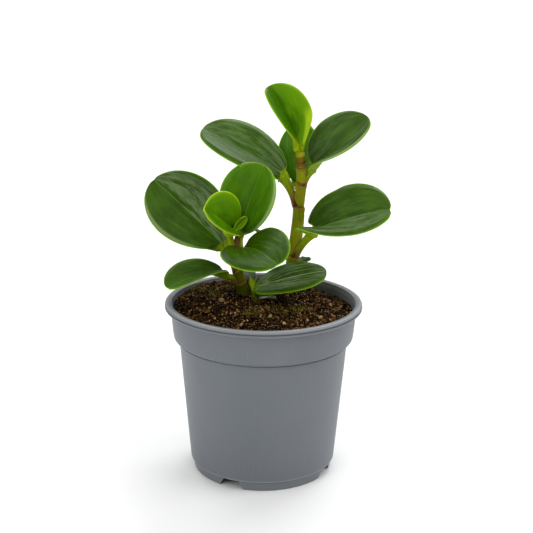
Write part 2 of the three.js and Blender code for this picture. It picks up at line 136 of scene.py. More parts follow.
# The middle of each patch of moss, and how wide it is.
MOSS_PATCHES = (
    (-40, 24, 8), (-31, 19, 6), (-24, 29, 6), (3, -4, 9), (14, -8, 8), (22, -2, 6), (-7, -14, 6),
)
SCRAP_MIDDLE = (2.4, 9.5, 104.2)
SCRAP_ALONG = (0.97, 0.22, 0)
SCRAP_SIZE = (11.0, 5.0)
SCRAP_THICKNESS = 0.3

# ---------- stems ----------

STEM_SIDES = 32
STEM_ROWS_PER_MM = 3.5
NODE_SWELL = 0.45
NODE_SPREAD = 1.6
NODE_STEP = 0.35             # how much thinner a stem is just above a node
RING_WIDTH = 0.28

# The stems, by the solid each stands for: points up the middle and radii at both ends. A node has a height,
# how far its ring slants, and the direction in degrees where it is lowest: 0 is the front, 90 the right.
STEMS = {
    "stem_tall": {
        "path": [(13.5, 30, 78), (14.8, 30, 103.2), (17.9, 30, 122), (21, 29, 149), (21.4, 28.5, 160),
                 (22.6, 28, 172.6), (22.2, 27.5, 184), (21.5, 27, 192)],
        "radii": (4.3, 2.8),
        "nodes": ((112, 0.6, 30), (126, 1.2, 50), (158, 1.0, 60), (172.5, 0.8, 40), (182.4, 0.7, 0)),
        "crown": 190,
    },
    "stem_short": {
        "path": [(-10.5, 20, 80), (-12.3, 19, 102), (-16, 17, 119), (-17.2, 16, 126), (-17, 13.5, 134),
                 (-16.9, 12.4, 140)],
        "radii": (4.2, 1.9),
        "nodes": ((113.5, 1.6, 0), (121, 0.8, -50), (134, 0.6, 30)),
        "crown": 142,
        "apex": 6.0,
    },
    "stem_side": {
        "path": [(-4.2, 12, 84), (-4.6, 11, 102), (-5.5, 11, 108.5)],
        "radii": (3, 2.6),
        "nodes": ((104, 0.5, 20),),
    },
}
BUD_PATH = [(-5.2, 11.9, 107), (-4.4, 12.7, 111), (-4.2, 13.3, 115.5)]
BUD_RADII = (1.5, 0.5)

# ---------- leaves ----------

BLADE_THICKNESS = 1.4
MARGIN_THICKNESS = 0.9
OUTLINE_BASE = 0.55
OUTLINE_TIP = 0.5
PETIOLE_LEAN = 0.10
BLADE_ROWS = 104
BLADE_SHRINK = 0.995         # keeps the margins inside the box of the solids
PETIOLE_ROWS = 24
STALK_FLARE = 0.8            # extra radius of a stalk where it clasps the stem
HALF_COLUMNS = 36
CURL_START = 0.76            # share of the half width where the margin begins to turn down
CURL_DROP = 1.3              # how far the margin turns down
MIDRIB_SOFTNESS = 0.7        # rounding of the fold at the midrib
TRUMPET = 0.45               # how much deeper than thick the stalk is under the blade's base
KEEL = 0.9                   # depth of the stalk's ridge under the blade, against the stalk itself
KEEL_REACH = 0.30            # share of the length over which it runs out
LOBE_START = 0.05            # share of the length where the lobes at the base reach back furthest
FOLD_START = 0.08            # share of the length over which the halves fold up
STALK_FOLD = 0.45            # how much of that fold the stalk has where it meets the blade
STALK_CHANNEL = 0.55         # depth of the channel along the stalk, against its radius
CHANNEL_WIDTH = 0.45         # and its width, against half the stalk's
STALK_WAIST = 0.16           # how much thinner the stalk is half way
GROOVE_DEPTH = 0.22          # the groove along the midrib
GROOVE_WIDTH = 0.6
VEIN_WIDTH = 0.55
DENT_WIDTH = 1.8             # the dent in the tip
# Waves in a blade's face: how wide and how high they are.
RIPPLES = ((16.0, 0.20), (6.5, 0.05), (3.6, 0.018))

# The side veins of a half: where they leave the midrib, how far out they end, and how they bow.
VEINS = ((0.00, 0.80, 0.55), (0.03, 0.56, 0.62), (0.10, 0.33, 0.75))

# What a leaf has unless it says otherwise. Pairs are for its left and right halves, seen along the midrib
# from above. sway bends the midrib sideways, uneven makes one half wider, and taper narrows both near the
# base. pinch narrows one half there, lobe draws its base back by a share of the length, lift raises that
# lobe, and cup folds it further up. The stalk opens out into the blade over neck, a share of the length,
# and is wider than thick there by funnel. notch is the dent in the tip, ripple and crinkle the unevenness
# of the face and margin, ridge the height of its veins, and blush how far the stalk is red. Then come the
# pale waxy patches that are painted sheen, and the pale band by the margin that is a painted highlight.
# shade is how the green changes along, across and over the whole blade, stalk_shade how far the stalk is
# darkened to the blade's green as painted shade, and fade the millimetres over which the stalk's colour
# runs out on it.
LEAF_DEFAULTS = dict(
    skin="dark", sway=0, uneven=0, taper=0, pinch=(0, 0), lobe=(0.02, 0.02), lift=(0, 0), cup=(0, 0),
    neck=0.045, funnel=1.85, notch=0, ripple=0.8, crinkle=0, ridge=0.06, blush=0.4, bloom_and_sheen=(0.0, 0.0),
    highlight_strip=(0.0, 0.0), shade=(0.12, 0.0, 0.0), fade=11, stalk_shade=0.0, cheek=False, pale_veins=False,
)

# The leaves, by the solid each stands for. start is where the stalk leaves the stem, and base where it
# meets the blade. heading, pitch and roll turn the blade there, and size is its length and width. arch
# bends it down, and fold is how far its halves stand up: all along, and at the base. stalk is the stalk's
# radius at both ends. The angles are in degrees.
LEAVES = {
    "leaf_tall_top": dict(
        start=(22.2, 27.5, 186), base=(21.4, 26.9, 194.6), heading=186, pitch=69, roll=-57, size=(43, 32),
        arch=28, fold=(37, 23), pinch=(0.45, 0.1), lobe=(0, 0), sway=-0.03, uneven=0.05, taper=0.29,
        stalk=(2.4, 2.2), skin="lime", cheek=True, fade=24, neck=0.2, shade=(0.0, -0.45, -0.09),
        ripple=0.5, blush=0.6,
    ),
    "leaf_tall_left": dict(
        start=(20.4, 28.5, 159), base=(11.6, 31.9, 177.6), heading=173, pitch=31, roll=-29,
        size=(58.5, 41.5), arch=13, fold=(18, 3), lobe=(0.03, 0.04), sway=-0.04, stalk=(2.6, 2.8),
        bloom_and_sheen=(0, 0.42), notch=0.4, ripple=1.2, ridge=-0.1, blush=0.38,
    ),
    "leaf_tall_right": dict(
        start=(22.8, 28, 171.5), base=(28.7, 29.9, 182.4), heading=4, pitch=41, roll=31, size=(46.5, 36),
        arch=-2, fold=(19, 28), cup=(1, 14), lobe=(-0.04, 0.11), lift=(0, 0.6), funnel=1.5, uneven=-0.09,
        taper=-0.09, stalk=(2.6, 2.2), bloom_and_sheen=(0.12, 0.10), highlight_strip=(0, 0.55), ripple=0.6, ridge=0.1,
        blush=0.36,
    ),
    "leaf_tall_low_right": dict(
        start=(18.4, 29.8, 126), base=(29.8, 17.9, 145.9), heading=-23, pitch=25, roll=40,
        size=(53, 41.5), arch=8, fold=(11, 22), cup=(-14, 27), lobe=(0.17, 0.205), lift=(-0.3, 1.1),
        funnel=1.4, sway=-0.05, uneven=-0.15, pinch=(-0.26, 0), stalk=(2.8, 2.8), bloom_and_sheen=(0.05, 0.42),
        notch=1.1, ridge=0.1, blush=0.3,
    ),
    "leaf_tall_back": dict(
        start=(23.6, 28.2, 173.5), base=(20.4, 42.9, 168.4), heading=70, pitch=75, roll=3,
        size=(40.4, 26.6), arch=6, fold=(7, 11), lobe=(-0.07, 0.02), sway=0.02, uneven=-0.08, taper=0.08,
        stalk=(2, 1.9), skin="fresh", blush=0.3,
    ),
    "leaf_tall_low_left": dict(
        start=(17.8, 30, 122), base=(10.5, 31, 129), heading=162, pitch=42, roll=25, size=(21, 19),
        arch=12, fold=(10, 15), stalk=(1.8, 1.6), skin="shaded",
    ),
    "leaf_tall_low_back": dict(
        start=(16.2, 30, 111), base=(20.5, 36, 117.2), heading=52, pitch=27, roll=-10, size=(12, 13),
        arch=20, fold=(10, 10), stalk=(1.6, 1.4), skin="shaded", crinkle=0.5, blush=0.3,
    ),
    "leaf_short_left": dict(
        start=(-16.4, 16.7, 119), base=(-25, 23.3, 134), heading=157, pitch=39, roll=-54, size=(61, 46),
        arch=-7, fold=(8, 33), lobe=(-0.01, 0.05), sway=0.03, stalk=(2.4, 2.6), bloom_and_sheen=(0.04, 0.68),
        stalk_shade=0.4, fade=5, highlight_strip=(0.4, 0), notch=0.5, ripple=1.2, ridge=0.12,
    ),
    "leaf_short_back": dict(
        start=(-14.6, 14.6, 132.5), base=(-15.6, 15, 145.2), heading=-12, pitch=70, roll=74,
        size=(44.5, 39), arch=8, fold=(20, 17), lobe=(0.02, 0), sway=0.03, uneven=-0.03, stalk=(2.1, 2.5),
        skin="fresh", highlight_strip=(0, 0.6), notch=0.3, ripple=0.5, blush=0.28,
    ),
    "leaf_short_young": dict(
        start=(-18.8, 12.2, 132.5), base=(-20.1, 8.7, 147.7), heading=256, pitch=35, roll=-80,
        size=(35, 29.5), arch=29, fold=(29, 38), lobe=(0.03, 0.03), sway=-0.03, uneven=0.15,
        stalk=(2.1, 2.5), skin="lime", shade=(-0.1, -0.15, 0.05), ripple=0.3, blush=0.22,
        tip=dict(
            start=(-19, 7, 146), base=(-18.5, 4, 148.5), heading=35, pitch=39, roll=66, size=(12, 6),
            arch=-11, fold=(26, 8), lobe=(0.04, 0.04), stalk=(1.0, 0.9), skin="lime", ripple=0.2, blush=0,
        ),
    ),
    "leaf_short_front": dict(
        start=(-17.2, 15.8, 127.5), base=(-12.8, 1.2, 137.5), heading=-75, pitch=24, roll=26,
        size=(49, 40.5), arch=47, fold=(10, 29), cup=(-5, 21), lobe=(0.06, 0.03), sway=0.02, uneven=0.07,
        taper=0.07, stalk=(2.2, 2), shade=(0.1, 0.0, -0.08), shine=0.09, notch=1.0, ridge=0.14,
    ),
    "leaf_short_low": dict(
        start=(-15, 17.6, 113.5), base=(-23.8, 15.9, 118.3), heading=218, pitch=13, roll=-8,
        size=(43, 30), arch=34, fold=(25, 16), stalk=(2.4, 2.2), notch=0.9, ripple=0.7, blush=0.35,
    ),
    "leaf_side": dict(
        start=(-5, 10.6, 105), base=(-4.2, 6, 112.3), heading=1, pitch=20, roll=18, size=(44, 31.5),
        arch=14, fold=(5, 6), lobe=(0.03, 0.09), stalk=(2.2, 2.4), bloom_and_sheen=(0.12, 0.10), pale_veins=True,
        stalk_shade=0.7, fade=5, ripple=1.2, ridge=0.45, blush=0.0,
    ),
    "leaf_side_small": dict(
        start=(-4.9, 11.8, 104.5), base=(-7.5, 20, 111.5), heading=105, pitch=30, roll=0, size=(13, 9),
        arch=15, fold=(10, 10), stalk=(1.5, 1.3), skin="shaded", ripple=0.5, blush=0.2,
    ),
}

# ---------- small helpers ----------

LATTICE_SIZE = 256


def smooth(value, low, high):
    """0 below low, 1 above high, and a soft step between them."""
    t = np.clip((value - low) / (high - low), 0, 1)
    return t * t * (3 - 2 * t)


def lerp(a, b, t):
    return a + (b - a) * t


def unit(vectors):
    return vectors / np.linalg.norm(vectors, axis=-1, keepdims=True)


def turned_about(vector, axis, angle):
    """vector turned about a unit axis by an angle in radians."""
    cross = np.cross(axis, vector)
    along = axis * np.dot(axis, vector)
    return vector * math.cos(angle) + cross * math.sin(angle) + along * (1 - math.cos(angle))


def full_turn(count):
    """Angles spread evenly over a full turn."""
    return np.linspace(0, 2 * np.pi, count, endpoint=False)


@functools.cache
def lattice(seed):
    return np.random.default_rng(seed).uniform(-1, 1, (LATTICE_SIZE, LATTICE_SIZE))


def lattice_noise(x, y, cell, seed):
    """Smooth noise from -1 to 1 over a plane, with bumps about as wide as cell."""
    values = lattice(seed)
    u, v = x / cell + 1000, y / cell + 1000
    i, j = np.floor(u).astype(int), np.floor(v).astype(int)
    s, t = smooth(u - i, 0, 1), smooth(v - j, 0, 1)

    def corner(a, b):
        return values[(i + a) % LATTICE_SIZE, (j + b) % LATTICE_SIZE]

    return lerp(lerp(corner(0, 0), corner(1, 0), s), lerp(corner(0, 1), corner(1, 1), s), t)


def outward(points, faces):
    """The same faces, turned round if they would point inwards."""
    p = np.asarray(points, float)
    volume = 0.0
    for size in {len(face) for face in faces}:
        corners = np.array([face for face in faces if len(face) == size])
        for k in range(1, size - 1):
            across = np.cross(p[corners[:, k]], p[corners[:, k + 1]])
            volume += float((p[corners[:, 0]] * across).sum())
    return faces if volume >= 0 else [tuple(reversed(face)) for face in faces]


def mesh_piece(name, points, faces, marks=None, smooth_faces=True):
    """An object at the origin from points in millimetres. marks are numbers kept on the points, by name."""
    mesh = bpy.data.meshes.new(name)
    mesh.from_pydata((np.asarray(points) * MM).tolist(), [], outward(points, faces))
    mesh.validate()
    if smooth_faces:
        mesh.shade_smooth()
    for mark, values in (marks or {}).items():
        attribute = mesh.attributes.new(mark, "FLOAT", "POINT")
        attribute.data.foreach_set("value", np.asarray(values, np.float32).ravel())
    piece = bpy.data.objects.new(name, mesh)
    bpy.context.scene.collection.objects.link(piece)
    return piece


def joined_piece(name, parts, smooth_faces=True):
    """One object from many parts, each with its points, faces and marks."""
    points, faces, marks = [], [], {}
    for part_points, part_faces, part_marks in parts:
        first, count = len(points), len(part_points)
        points += list(part_points)
        faces += [tuple(first + k for k in face) for face in part_faces]
        for mark, values in part_marks.items():
            marks.setdefault(mark, []).extend(np.broadcast_to(values, count))
    return mesh_piece(name, points, faces, marks, smooth_faces)


def settle(piece, slot, material, *nodes):
    """Gives a piece its finish, hangs it on the root, and hides the solids that it stands for."""
    piece.data.materials.clear()
    piece.data.materials.append(material)
    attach(piece, "root")
    if nodes:
        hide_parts(*nodes)
    return piece


def grid_faces(rows, columns, first=0, closed=True):
    """Quads between rows of points, where each row closes on itself if closed."""
    row = first + columns * np.arange(rows - 1)[:, None]
    here = np.arange(columns if closed else columns - 1)[None, :]
    after = (here + 1) % columns
    quads = np.stack([row + here, row + after, row + after + columns, row + here + columns], -1)
    return [tuple(quad) for quad in quads.reshape(-1, 4).tolist()]


def tube_faces(rows, columns, start, end, first=0):
    """Quads between closed rows of points, and triangles from its first and last row to two end points."""
    last = first + (rows - 1) * columns
    faces = grid_faces(rows, columns, first)
    for j in range(columns):
        after = (j + 1) % columns
        faces += [(start, first + after, first + j), (end, last + j, last + after)]
    return faces


def capped_faces(rows, columns):
    """Quads between closed rows of points, and one face over each end."""
    count = rows * columns
    ends = [tuple(range(columns - 1, -1, -1)), tuple(range(count - columns, count))]
    return grid_faces(rows, columns) + ends


def smooth_path(points, count):
    """Evenly spread points of a centripetal Catmull-Rom curve through the given ones."""
    p = np.asarray(points, float)
    p = np.vstack([2 * p[0] - p[1], p, 2 * p[-1] - p[-2]])
    fine = []
    for k in range(1, len(p) - 2):
        gaps = [max(np.linalg.norm(p[k + i] - p[k + i - 1]) ** 0.5, 1e-6) for i in (0, 1, 2)]
        into = (p[k] - p[k - 1]) / gaps[0] - (p[k + 1] - p[k - 1]) / (gaps[0] + gaps[1])
        into = (into + (p[k + 1] - p[k]) / gaps[1]) * gaps[1]
        out = (p[k + 1] - p[k]) / gaps[1] - (p[k + 2] - p[k]) / (gaps[1] + gaps[2])
        out = (out + (p[k + 2] - p[k + 1]) / gaps[2]) * gaps[1]
        t = np.linspace(0, 1, 60, endpoint=k == len(p) - 3)[:, None]
        fine.append((2 * t**3 - 3 * t**2 + 1) * p[k] + (t**3 - 2 * t**2 + t) * into
                    + (3 * t**2 - 2 * t**3) * p[k + 1] + (t**3 - t**2) * out)
    fine = np.vstack(fine)
    run = np.concatenate([[0], np.cumsum(np.linalg.norm(np.diff(fine, axis=0), axis=1))])
    marks = np.linspace(0, run[-1], count)
    return np.stack([np.interp(marks, run, fine[:, k]) for k in range(3)], 1)


def carried_frames(path, side, up):
    """Side and up vectors along a path that turn as little as they can, from the ones at its last point."""
    tangents = unit(np.gradient(path, axis=0))
    sides, ups = [side], [up]
    for k in range(len(path) - 2, -1, -1):
        axis = np.cross(tangents[k + 1], tangents[k])
        angle = math.asin(min(1.0, np.linalg.norm(axis)))
        if angle > 1e-7:
            axis = axis / np.linalg.norm(axis)
            side, up = turned_about(side, axis, angle), turned_about(up, axis, angle)
        sides.append(side)
        ups.append(up)
    return np.array(sides[::-1]), np.array(ups[::-1])


def tube(path, radii):
    """Closed rows of points around a path, from radii with a row for each point of the path."""
    tangent = unit(path[-1] - path[-2])
    helper = np.array([0, 0, 1.0]) if abs(tangent[2]) < 0.9 else np.array([1.0, 0, 0])
    side = unit(np.cross(helper, tangent))
    sideways, ups = carried_frames(path, side, np.cross(tangent, side))
    turn = full_turn(radii.shape[1])[None, :, None]
    spokes = np.cos(turn) * sideways[:, None] + np.sin(turn) * ups[:, None]
    return (path[:, None] + radii[..., None] * spokes).reshape(-1, 3)


# ---------- node materials ----------


class Wire:
    """A node's output. Reckoning with it adds math nodes to its tree."""

    def __init__(self, paint, socket):
        self.paint, self.socket = paint, socket

    def __add__(self, other):
        return self.paint.math("ADD", self, other)

    def __sub__(self, other):
        return self.paint.math("SUBTRACT", self, other)

    def __rsub__(self, other):
        return self.paint.math("SUBTRACT", other, self)

    def __mul__(self, other):
        return self.paint.math("MULTIPLY", self, other)

    def __truediv__(self, other):
        return self.paint.math("DIVIDE", self, other)

    def __pow__(self, other):
        return self.paint.math("POWER", self, other)

    def __abs__(self):
        return self.paint.math("ABSOLUTE", self)

    __radd__, __rmul__ = __add__, __mul__

    def step(self, low, high):
        """0 below low, 1 above high, soft between."""
        inputs = {"Value": self, "From Min": low, "From Max": high}
        return self.paint.node("ShaderNodeMapRange", "Result", inputs, interpolation_type="SMOOTHSTEP")

    def by_side(self, pair):
        """The first of a pair where this is above 0, on a leaf's left half, and the second on the right."""
        return self.step(-0.06, 0.06) * (pair[0] - pair[1]) + pair[1]


class Paint:
    """A material's node tree, with short ways to add to it."""

    def __init__(self, name):
        self.material = bpy.data.materials.new(name)
        self.material.use_nodes = True
        self.tree = self.material.node_tree
        self.tree.nodes.clear()
        self.surface = self.tree.nodes.new("ShaderNodeBsdfPrincipled")
        output = self.tree.nodes.new("ShaderNodeOutputMaterial")
        self.tree.links.new(self.surface.outputs[0], output.inputs["Surface"])

    def put(self, node, inputs):
        """Sets sockets, or links them to wires."""
        for socket, value in inputs.items():
            if isinstance(value, Wire):
                self.tree.links.new(value.socket, node.inputs[socket])
            else:
                node.inputs[socket].default_value = value

    def node(self, kind, output, inputs, **settings):
        node = self.tree.nodes.new(kind)
        for key, value in settings.items():
            setattr(node, key, value)
        self.put(node, inputs)
        return Wire(self, node.outputs[output])

    def finish(self, **sockets):
        self.put(self.surface, {socket.replace("_", " "): value for socket, value in sockets.items()})
        return self.material

    def math(self, operation, a, b=0.0, clamp=False):
        return self.node("ShaderNodeMath", 0, {0: a, 1: b}, operation=operation, use_clamp=clamp)

    def larger(self, a, b):
        return self.math("MAXIMUM", a, b)

    def mix(self, share, a, b):
        a, b = (colour if isinstance(colour, Wire) else (*colour, 1) for colour in (a, b))
        return self.node("ShaderNodeMix", 2, {0: share, 6: a, 7: b}, data_type="RGBA", clamp_factor=True)

    def layers(self, colour, *coats):
        """A colour with coats over it, each a share and a colour."""
        for share, coat in coats:
            colour = self.mix(share, colour, coat)
        return colour

    def mark(self, name):
        return self.node("ShaderNodeAttribute", "Fac", {}, attribute_name=name)

    def place(self, stretch=(1, 1, 1)):
        """The point in the object, in metres, stretched."""
        point = self.node("ShaderNodeTexCoord", "Object", {})
        return self.node("ShaderNodeMapping", "Vector", {"Vector": point, "Scale": stretch})

    def vector(self, x, y, z=0.0):
        return self.node("ShaderNodeCombineXYZ", 0, {0: x, 1: y, 2: z})

    def noise(self, scale, detail=2.0, roughness=0.5, stretch=(1, 1, 1), place=None):
        inputs = {"Scale": scale, "Detail": detail, "Roughness": roughness}
        inputs["Vector"] = place or self.place(stretch)
        return self.node("ShaderNodeTexNoise", "Fac", inputs)

    def ramp(self, value, *stops):
        node = self.tree.nodes.new("ShaderNodeValToRGB")
        elements = node.color_ramp.elements
        while len(elements) < len(stops):
            elements.new(0.5)
        for element, (place, colour) in zip(elements, stops):
            element.position = place
            element.color = (*colour, 1)
        self.put(node, {0: value})
        return Wire(self, node.outputs["Color"])

    def relief(self, *layers):
        """A normal with layers of relief, each a height, a depth in metres and a strength."""
        inputs = {}
        for height, depth, strength in layers:
            inputs.update({"Height": height, "Distance": depth, "Strength": strength})
            inputs["Normal"] = self.node("ShaderNodeBump", "Normal", inputs)
        return inputs["Normal"]


# The greens of each skin: the face's two tones, the underside, the veins and the margin.
SKINS = {
    "dark": dict(
        deep=(0.024, 0.064, 0.0006), light=(0.052, 0.130, 0.0020), under=(0.130, 0.250, 0.016),
        vein=(0.130, 0.290, 0.008), margin=(0.260, 0.520, 0.006), gloss=0.33, shine=0.12,
    ),
    # A darker copy of the dark skin: painted shade for the low leaves under the others.
    "shaded": dict(
        deep=(0.012, 0.034, 0.0005), light=(0.032, 0.080, 0.0015), under=(0.036, 0.080, 0.006),
        vein=(0.060, 0.130, 0.004), margin=(0.100, 0.220, 0.004), gloss=0.38, shine=0.12,
    ),
    "fresh": dict(
        deep=(0.042, 0.135, 0.0006), light=(0.082, 0.220, 0.0012), under=(0.130, 0.270, 0.006),
        vein=(0.130, 0.310, 0.004), margin=(0.300, 0.560, 0.006), gloss=0.34, shine=0.12,
    ),
    "lime": dict(
        deep=(0.044, 0.152, 0.0004), light=(0.118, 0.290, 0.0008), under=(0.260, 0.430, 0.003),
        vein=(0.260, 0.480, 0.004), margin=(0.520, 0.740, 0.020), gloss=0.34, shine=0.06,
    ),
}
# Pale grey-green of a waxy bloom, used as painted sheen on the leaves.
BLOOM_AND_SHEEN = (0.200, 0.270, 0.130)
# Pale colour of a painted highlight along bent margins, also used for pale veins.
PALE_HIGHLIGHT_AND_VEIN = (0.380, 0.500, 0.190)
STALK_GREEN = (0.330, 0.470, 0.004)
STALK_RED = (0.220, 0.080, 0.022)
STALK_CREASE_SHADE = (0.060, 0.018, 0.006)
POT_LIGHT_GREY = (0.235, 0.245, 0.252)
POT_PALE = (0.330, 0.345, 0.355)


def vein_lines(paint, blade, out, half, strength):
    """The side veins, as lines a few tenths of a millimetre wide that fade here and there."""
    lines = 0.0
    for root, end, bow in VEINS:
        run = paint.math("DIVIDE", blade - root, 1.0 - root, clamp=True)
        gap = abs(out - run**bow * end) * half
        line = (1.0 - gap.step(0.10, 0.42)) * run.step(0.0, 0.08) * run.step(0.92, 0.55)
        lines = paint.larger(line, lines)
    return lines * paint.noise(160.0, 2.0, 0.6).step(0.35, 0.65) * strength


def stalk_colour(paint, leaf, green, share, out, face):
    """Yellow-green, and red near the stem. share runs from -1 at the stem to 0 where the blade starts."""
    mottle = paint.noise(420.0, 3.0, 0.6, (1, 1, 0.3))
    stalk = paint.mix(mottle, STALK_GREEN, tuple(0.72 * c for c in STALK_GREEN))
    reach = leaf["blush"] - 1.0
    channel = out.step(0.50, 0.05) * face.step(0.0, 0.5)
    red = share + (mottle - 0.5) * 0.5 - channel * 0.22
    # Painted shade: the upper face turns almost black in the crease where the stalk clasps the stem.
    crease_shade = share.step(-0.74, -0.95) * face.step(0.0, 0.6)
    # stalk_shade darkens the stalk towards the blade's green: painted shade where the stalk lies in shadow.
    return paint.layers(
        stalk,
        (leaf["stalk_shade"], green),
        (red.step(reach + 0.25, reach - 0.35), STALK_RED),
        (crease_shade * 0.8, STALK_CREASE_SHADE),
    )


def leaf_material(name, leaf):
    """A fleshy leaf: mottled along its veins, with pale veins, a yellow-green margin and its stalk."""
    skin, shade, pale = SKINS[leaf["skin"]], leaf["shade"], leaf["pale_veins"]
    paint = Paint(name)
    share, side, half, face, seed = map(paint.mark, ("share", "side", "half", "face", "seed"))
    out, blade = abs(side), paint.larger(share, 0.0)

    # Streaks that run the length of the blade and fan out with the veins.
    streaks = paint.noise(1.5, 4.0, place=paint.vector(blade * 2.2, side * 4.0, seed))
    threads = paint.noise(2.0, 3.0, 0.55, place=paint.vector(blade * 6.0, side * 15.0, seed))
    tone = streaks * 0.45 + paint.noise(60.0) * 0.40 + threads * 0.15
    tone = tone + (blade - 0.5) * shade[0] + shade[2] + side * shade[1]
    green = paint.mix(tone.step(0.35, 0.67), skin["deep"], skin["light"])

    # Painted sheen: pale streaky patches by each half, like a waxy bloom. Then the veins, and the pale
    # side.
    bloom_and_sheen = side.by_side(leaf["bloom_and_sheen"]) * (streaks * 0.6 + threads * 0.4).step(0.41, 0.60)
    lines = vein_lines(paint, blade, out, half, 0.55 if pale else 0.28)
    off = out * half
    rib = (1.0 - off.step(0.12, 0.60 - blade * 0.35)) * (1.0 - blade * 0.35)
    under = paint.mix(tone.step(0.30, 0.70), tuple(0.80 * c for c in skin["under"]), skin["under"])
    below = face.step(-0.1, -0.6)
    colour = paint.layers(
        green,
        (bloom_and_sheen * out.step(1.0, 0.75), BLOOM_AND_SHEEN),
        (paint.larger(lines, rib), PALE_HIGHLIGHT_AND_VEIN if pale else skin["vein"]),
        (below, paint.mix(paint.larger(lines * 1.6, rib), under, skin["vein"])),
    )

    # The margin. It may have a painted highlight strip where it is bent up, and a bright cheek that faces
    # the light.
    inward = (1.0 - out) * half
    turned = (1.0 - inward.step(0.25, 0.80)) * face.step(0.98, 0.20)
    margin = paint.larger(turned, (1.0 - inward.step(0.2, 1.5)) * 0.35)
    colour = paint.mix(margin * share.step(0.0, 0.05), colour, skin["margin"])
    if any(leaf["highlight_strip"]):
        # A painted highlight in a band just inside the margin.
        highlight_band = out.step(0.87, 0.92) * out.step(0.985, 0.95)
        highlight_band = highlight_band * blade.step(0.05, 0.30) * blade.step(0.98, 0.80)
        colour = paint.mix(side.by_side(leaf["highlight_strip"]) * highlight_band, colour, PALE_HIGHLIGHT_AND_VEIN)
    if leaf["cheek"]:
        cheek = side.step(-0.62, -0.78) * blade.step(0.52, 0.34)
        colour = paint.mix(cheek * 0.6, colour, skin["margin"])

    # On the blade the stalk's colour is a wedge along the midrib above, and a wider patch below.
    reach = leaf["fade"]
    run_out = blade * leaf["size"][0] / (face * (-0.35 * reach) + reach)
    width_out = off / (face * (-0.84 * reach) + 1.1 * reach)
    wedge = paint.larger((run_out + width_out).step(1.0, 0.15), share.step(0.055, 0.015))
    colour = paint.mix(wedge, colour, stalk_colour(paint, leaf, skin["light"], share, out, face))

    dimples, grain = paint.noise(300.0), paint.noise(1100.0, 3.0, 0.6)
    relief = paint.relief(
        (streaks, 0.0005, 0.5), (threads, 0.00022, 0.6), (dimples, 0.00035, 0.6), (grain, 0.00006, 0.5))
    return paint.finish(
        Base_Color=colour, Normal=relief,
        Roughness=(tone - 0.5) * 0.25 + skin["gloss"] + below * 0.15 + (threads - 0.5) * 0.22,
        Subsurface_Weight=0.06, Subsurface_Radius=(0.002, 0.003, 0.0006),
        Specular_IOR_Level=leaf.get("shine", skin["shine"]),
    )


def stem_material(name, low, high, red_share):
    """A fleshy stem: olive, streaked along its length, with red-brown rings at its nodes."""
    paint = Paint(name)
    streaks = paint.noise(900.0, 4.0, 0.6, (1, 1, 0.12))
    patches = paint.noise(150.0, 3.0, 0.55, (1, 1, 0.5))
    uneven = (patches - 0.5) * 0.7
    colour = paint.layers(
        paint.mix(paint.mark("height").step(0.15, 0.8), low, high),
        (streaks.step(0.42, 0.68) * 0.40, tuple(1.5 * c for c in high)),
        (patches.step(0.50, 0.72) * red_share, (0.130, 0.066, 0.012)),
        ((paint.mark("blush") + uneven).step(0.35, 0.95) * 0.8, (0.160, 0.060, 0.014)),
        ((paint.mark("ring") + uneven).step(0.35, 0.85) * 0.8, (0.240, 0.085, 0.025)),
    )
    return paint.finish(
        Base_Color=colour, Roughness=patches * 0.2 + 0.36, Normal=paint.relief((streaks, 0.0003, 0.6)),
        Subsurface_Weight=0.05, Subsurface_Radius=(0.002, 0.002, 0.0005), Specular_IOR_Level=0.10,
    )


def pot_material():
    """Matt grey moulded plastic with faint clouds, a fine grain, scuffs, and rings turned into the rim."""
    paint = Paint("pot_plastic")
    clouds = paint.noise(28.0, 4.0, 0.55, (1, 1, 0.6))
    speckle = paint.noise(1500.0, 2.0, 0.6)
    drawn = paint.noise(520.0, 3.0, 0.6, (1, 1, 0.06))
    x, y, z = (paint.node("ShaderNodeSeparateXYZ", axis, {0: paint.place()}) for axis in "XYZ")
    foot, lip, top = FOOT_HEIGHT * MM, (POT_HEIGHT - RIM_LIP_DROP) * MM, POT_HEIGHT * MM
    # A painted shadow line under the body's overhang, and a painted highlight along its edge.
    shadow = z.step(foot - 1.1 * MM, foot) * z.step(foot + 0.4 * MM, foot)
    edge = z.step(foot + 0.2 * MM, foot + 0.5 * MM) * z.step(foot + 1.5 * MM, foot + 0.9 * MM)
    radius = paint.math("SQRT", x * x + y * y)
    rings = paint.noise(1300.0, 3.0, 0.6, place=paint.vector(radius, z))
    on_rim = z.step(lip - MM, lip) * 0.9
    colour = paint.layers(
        paint.mix(clouds, (0.121, 0.136, 0.153), (0.163, 0.178, 0.195)),
        (speckle.step(0.55, 0.75) * 0.25, (0.23, 0.245, 0.26)),
        (drawn.step(0.60, 0.78) * 0.12, (0.26, 0.28, 0.30)),
        # The rim's top is lighter, unevenly.
        (z.step(lip, top) * (clouds * 0.5 + 0.45), POT_LIGHT_GREY),
        # The foot is painted lighter, as painted light bounced up from below.
        (z.step(foot, foot - MM) * 0.35, POT_LIGHT_GREY),
        (shadow * 0.55, (0.040, 0.045, 0.050)),
        (edge * 0.45, POT_PALE),
        (rings.step(0.50, 0.62) * on_rim, POT_PALE),
        (rings.step(0.48, 0.36) * on_rim, (0.085, 0.092, 0.100)),
    )
    scuffs = paint.noise(90.0, 5.0, 0.65, (1, 1, 2.5)).step(0.60, 0.75)
    return paint.finish(
        Base_Color=colour, Roughness=scuffs * 0.14 + 0.44 + speckle * 0.08,
        Normal=paint.relief((speckle, 0.00006, 0.5), (drawn, 0.00012, 0.3)), Specular_IOR_Level=0.45,
    )


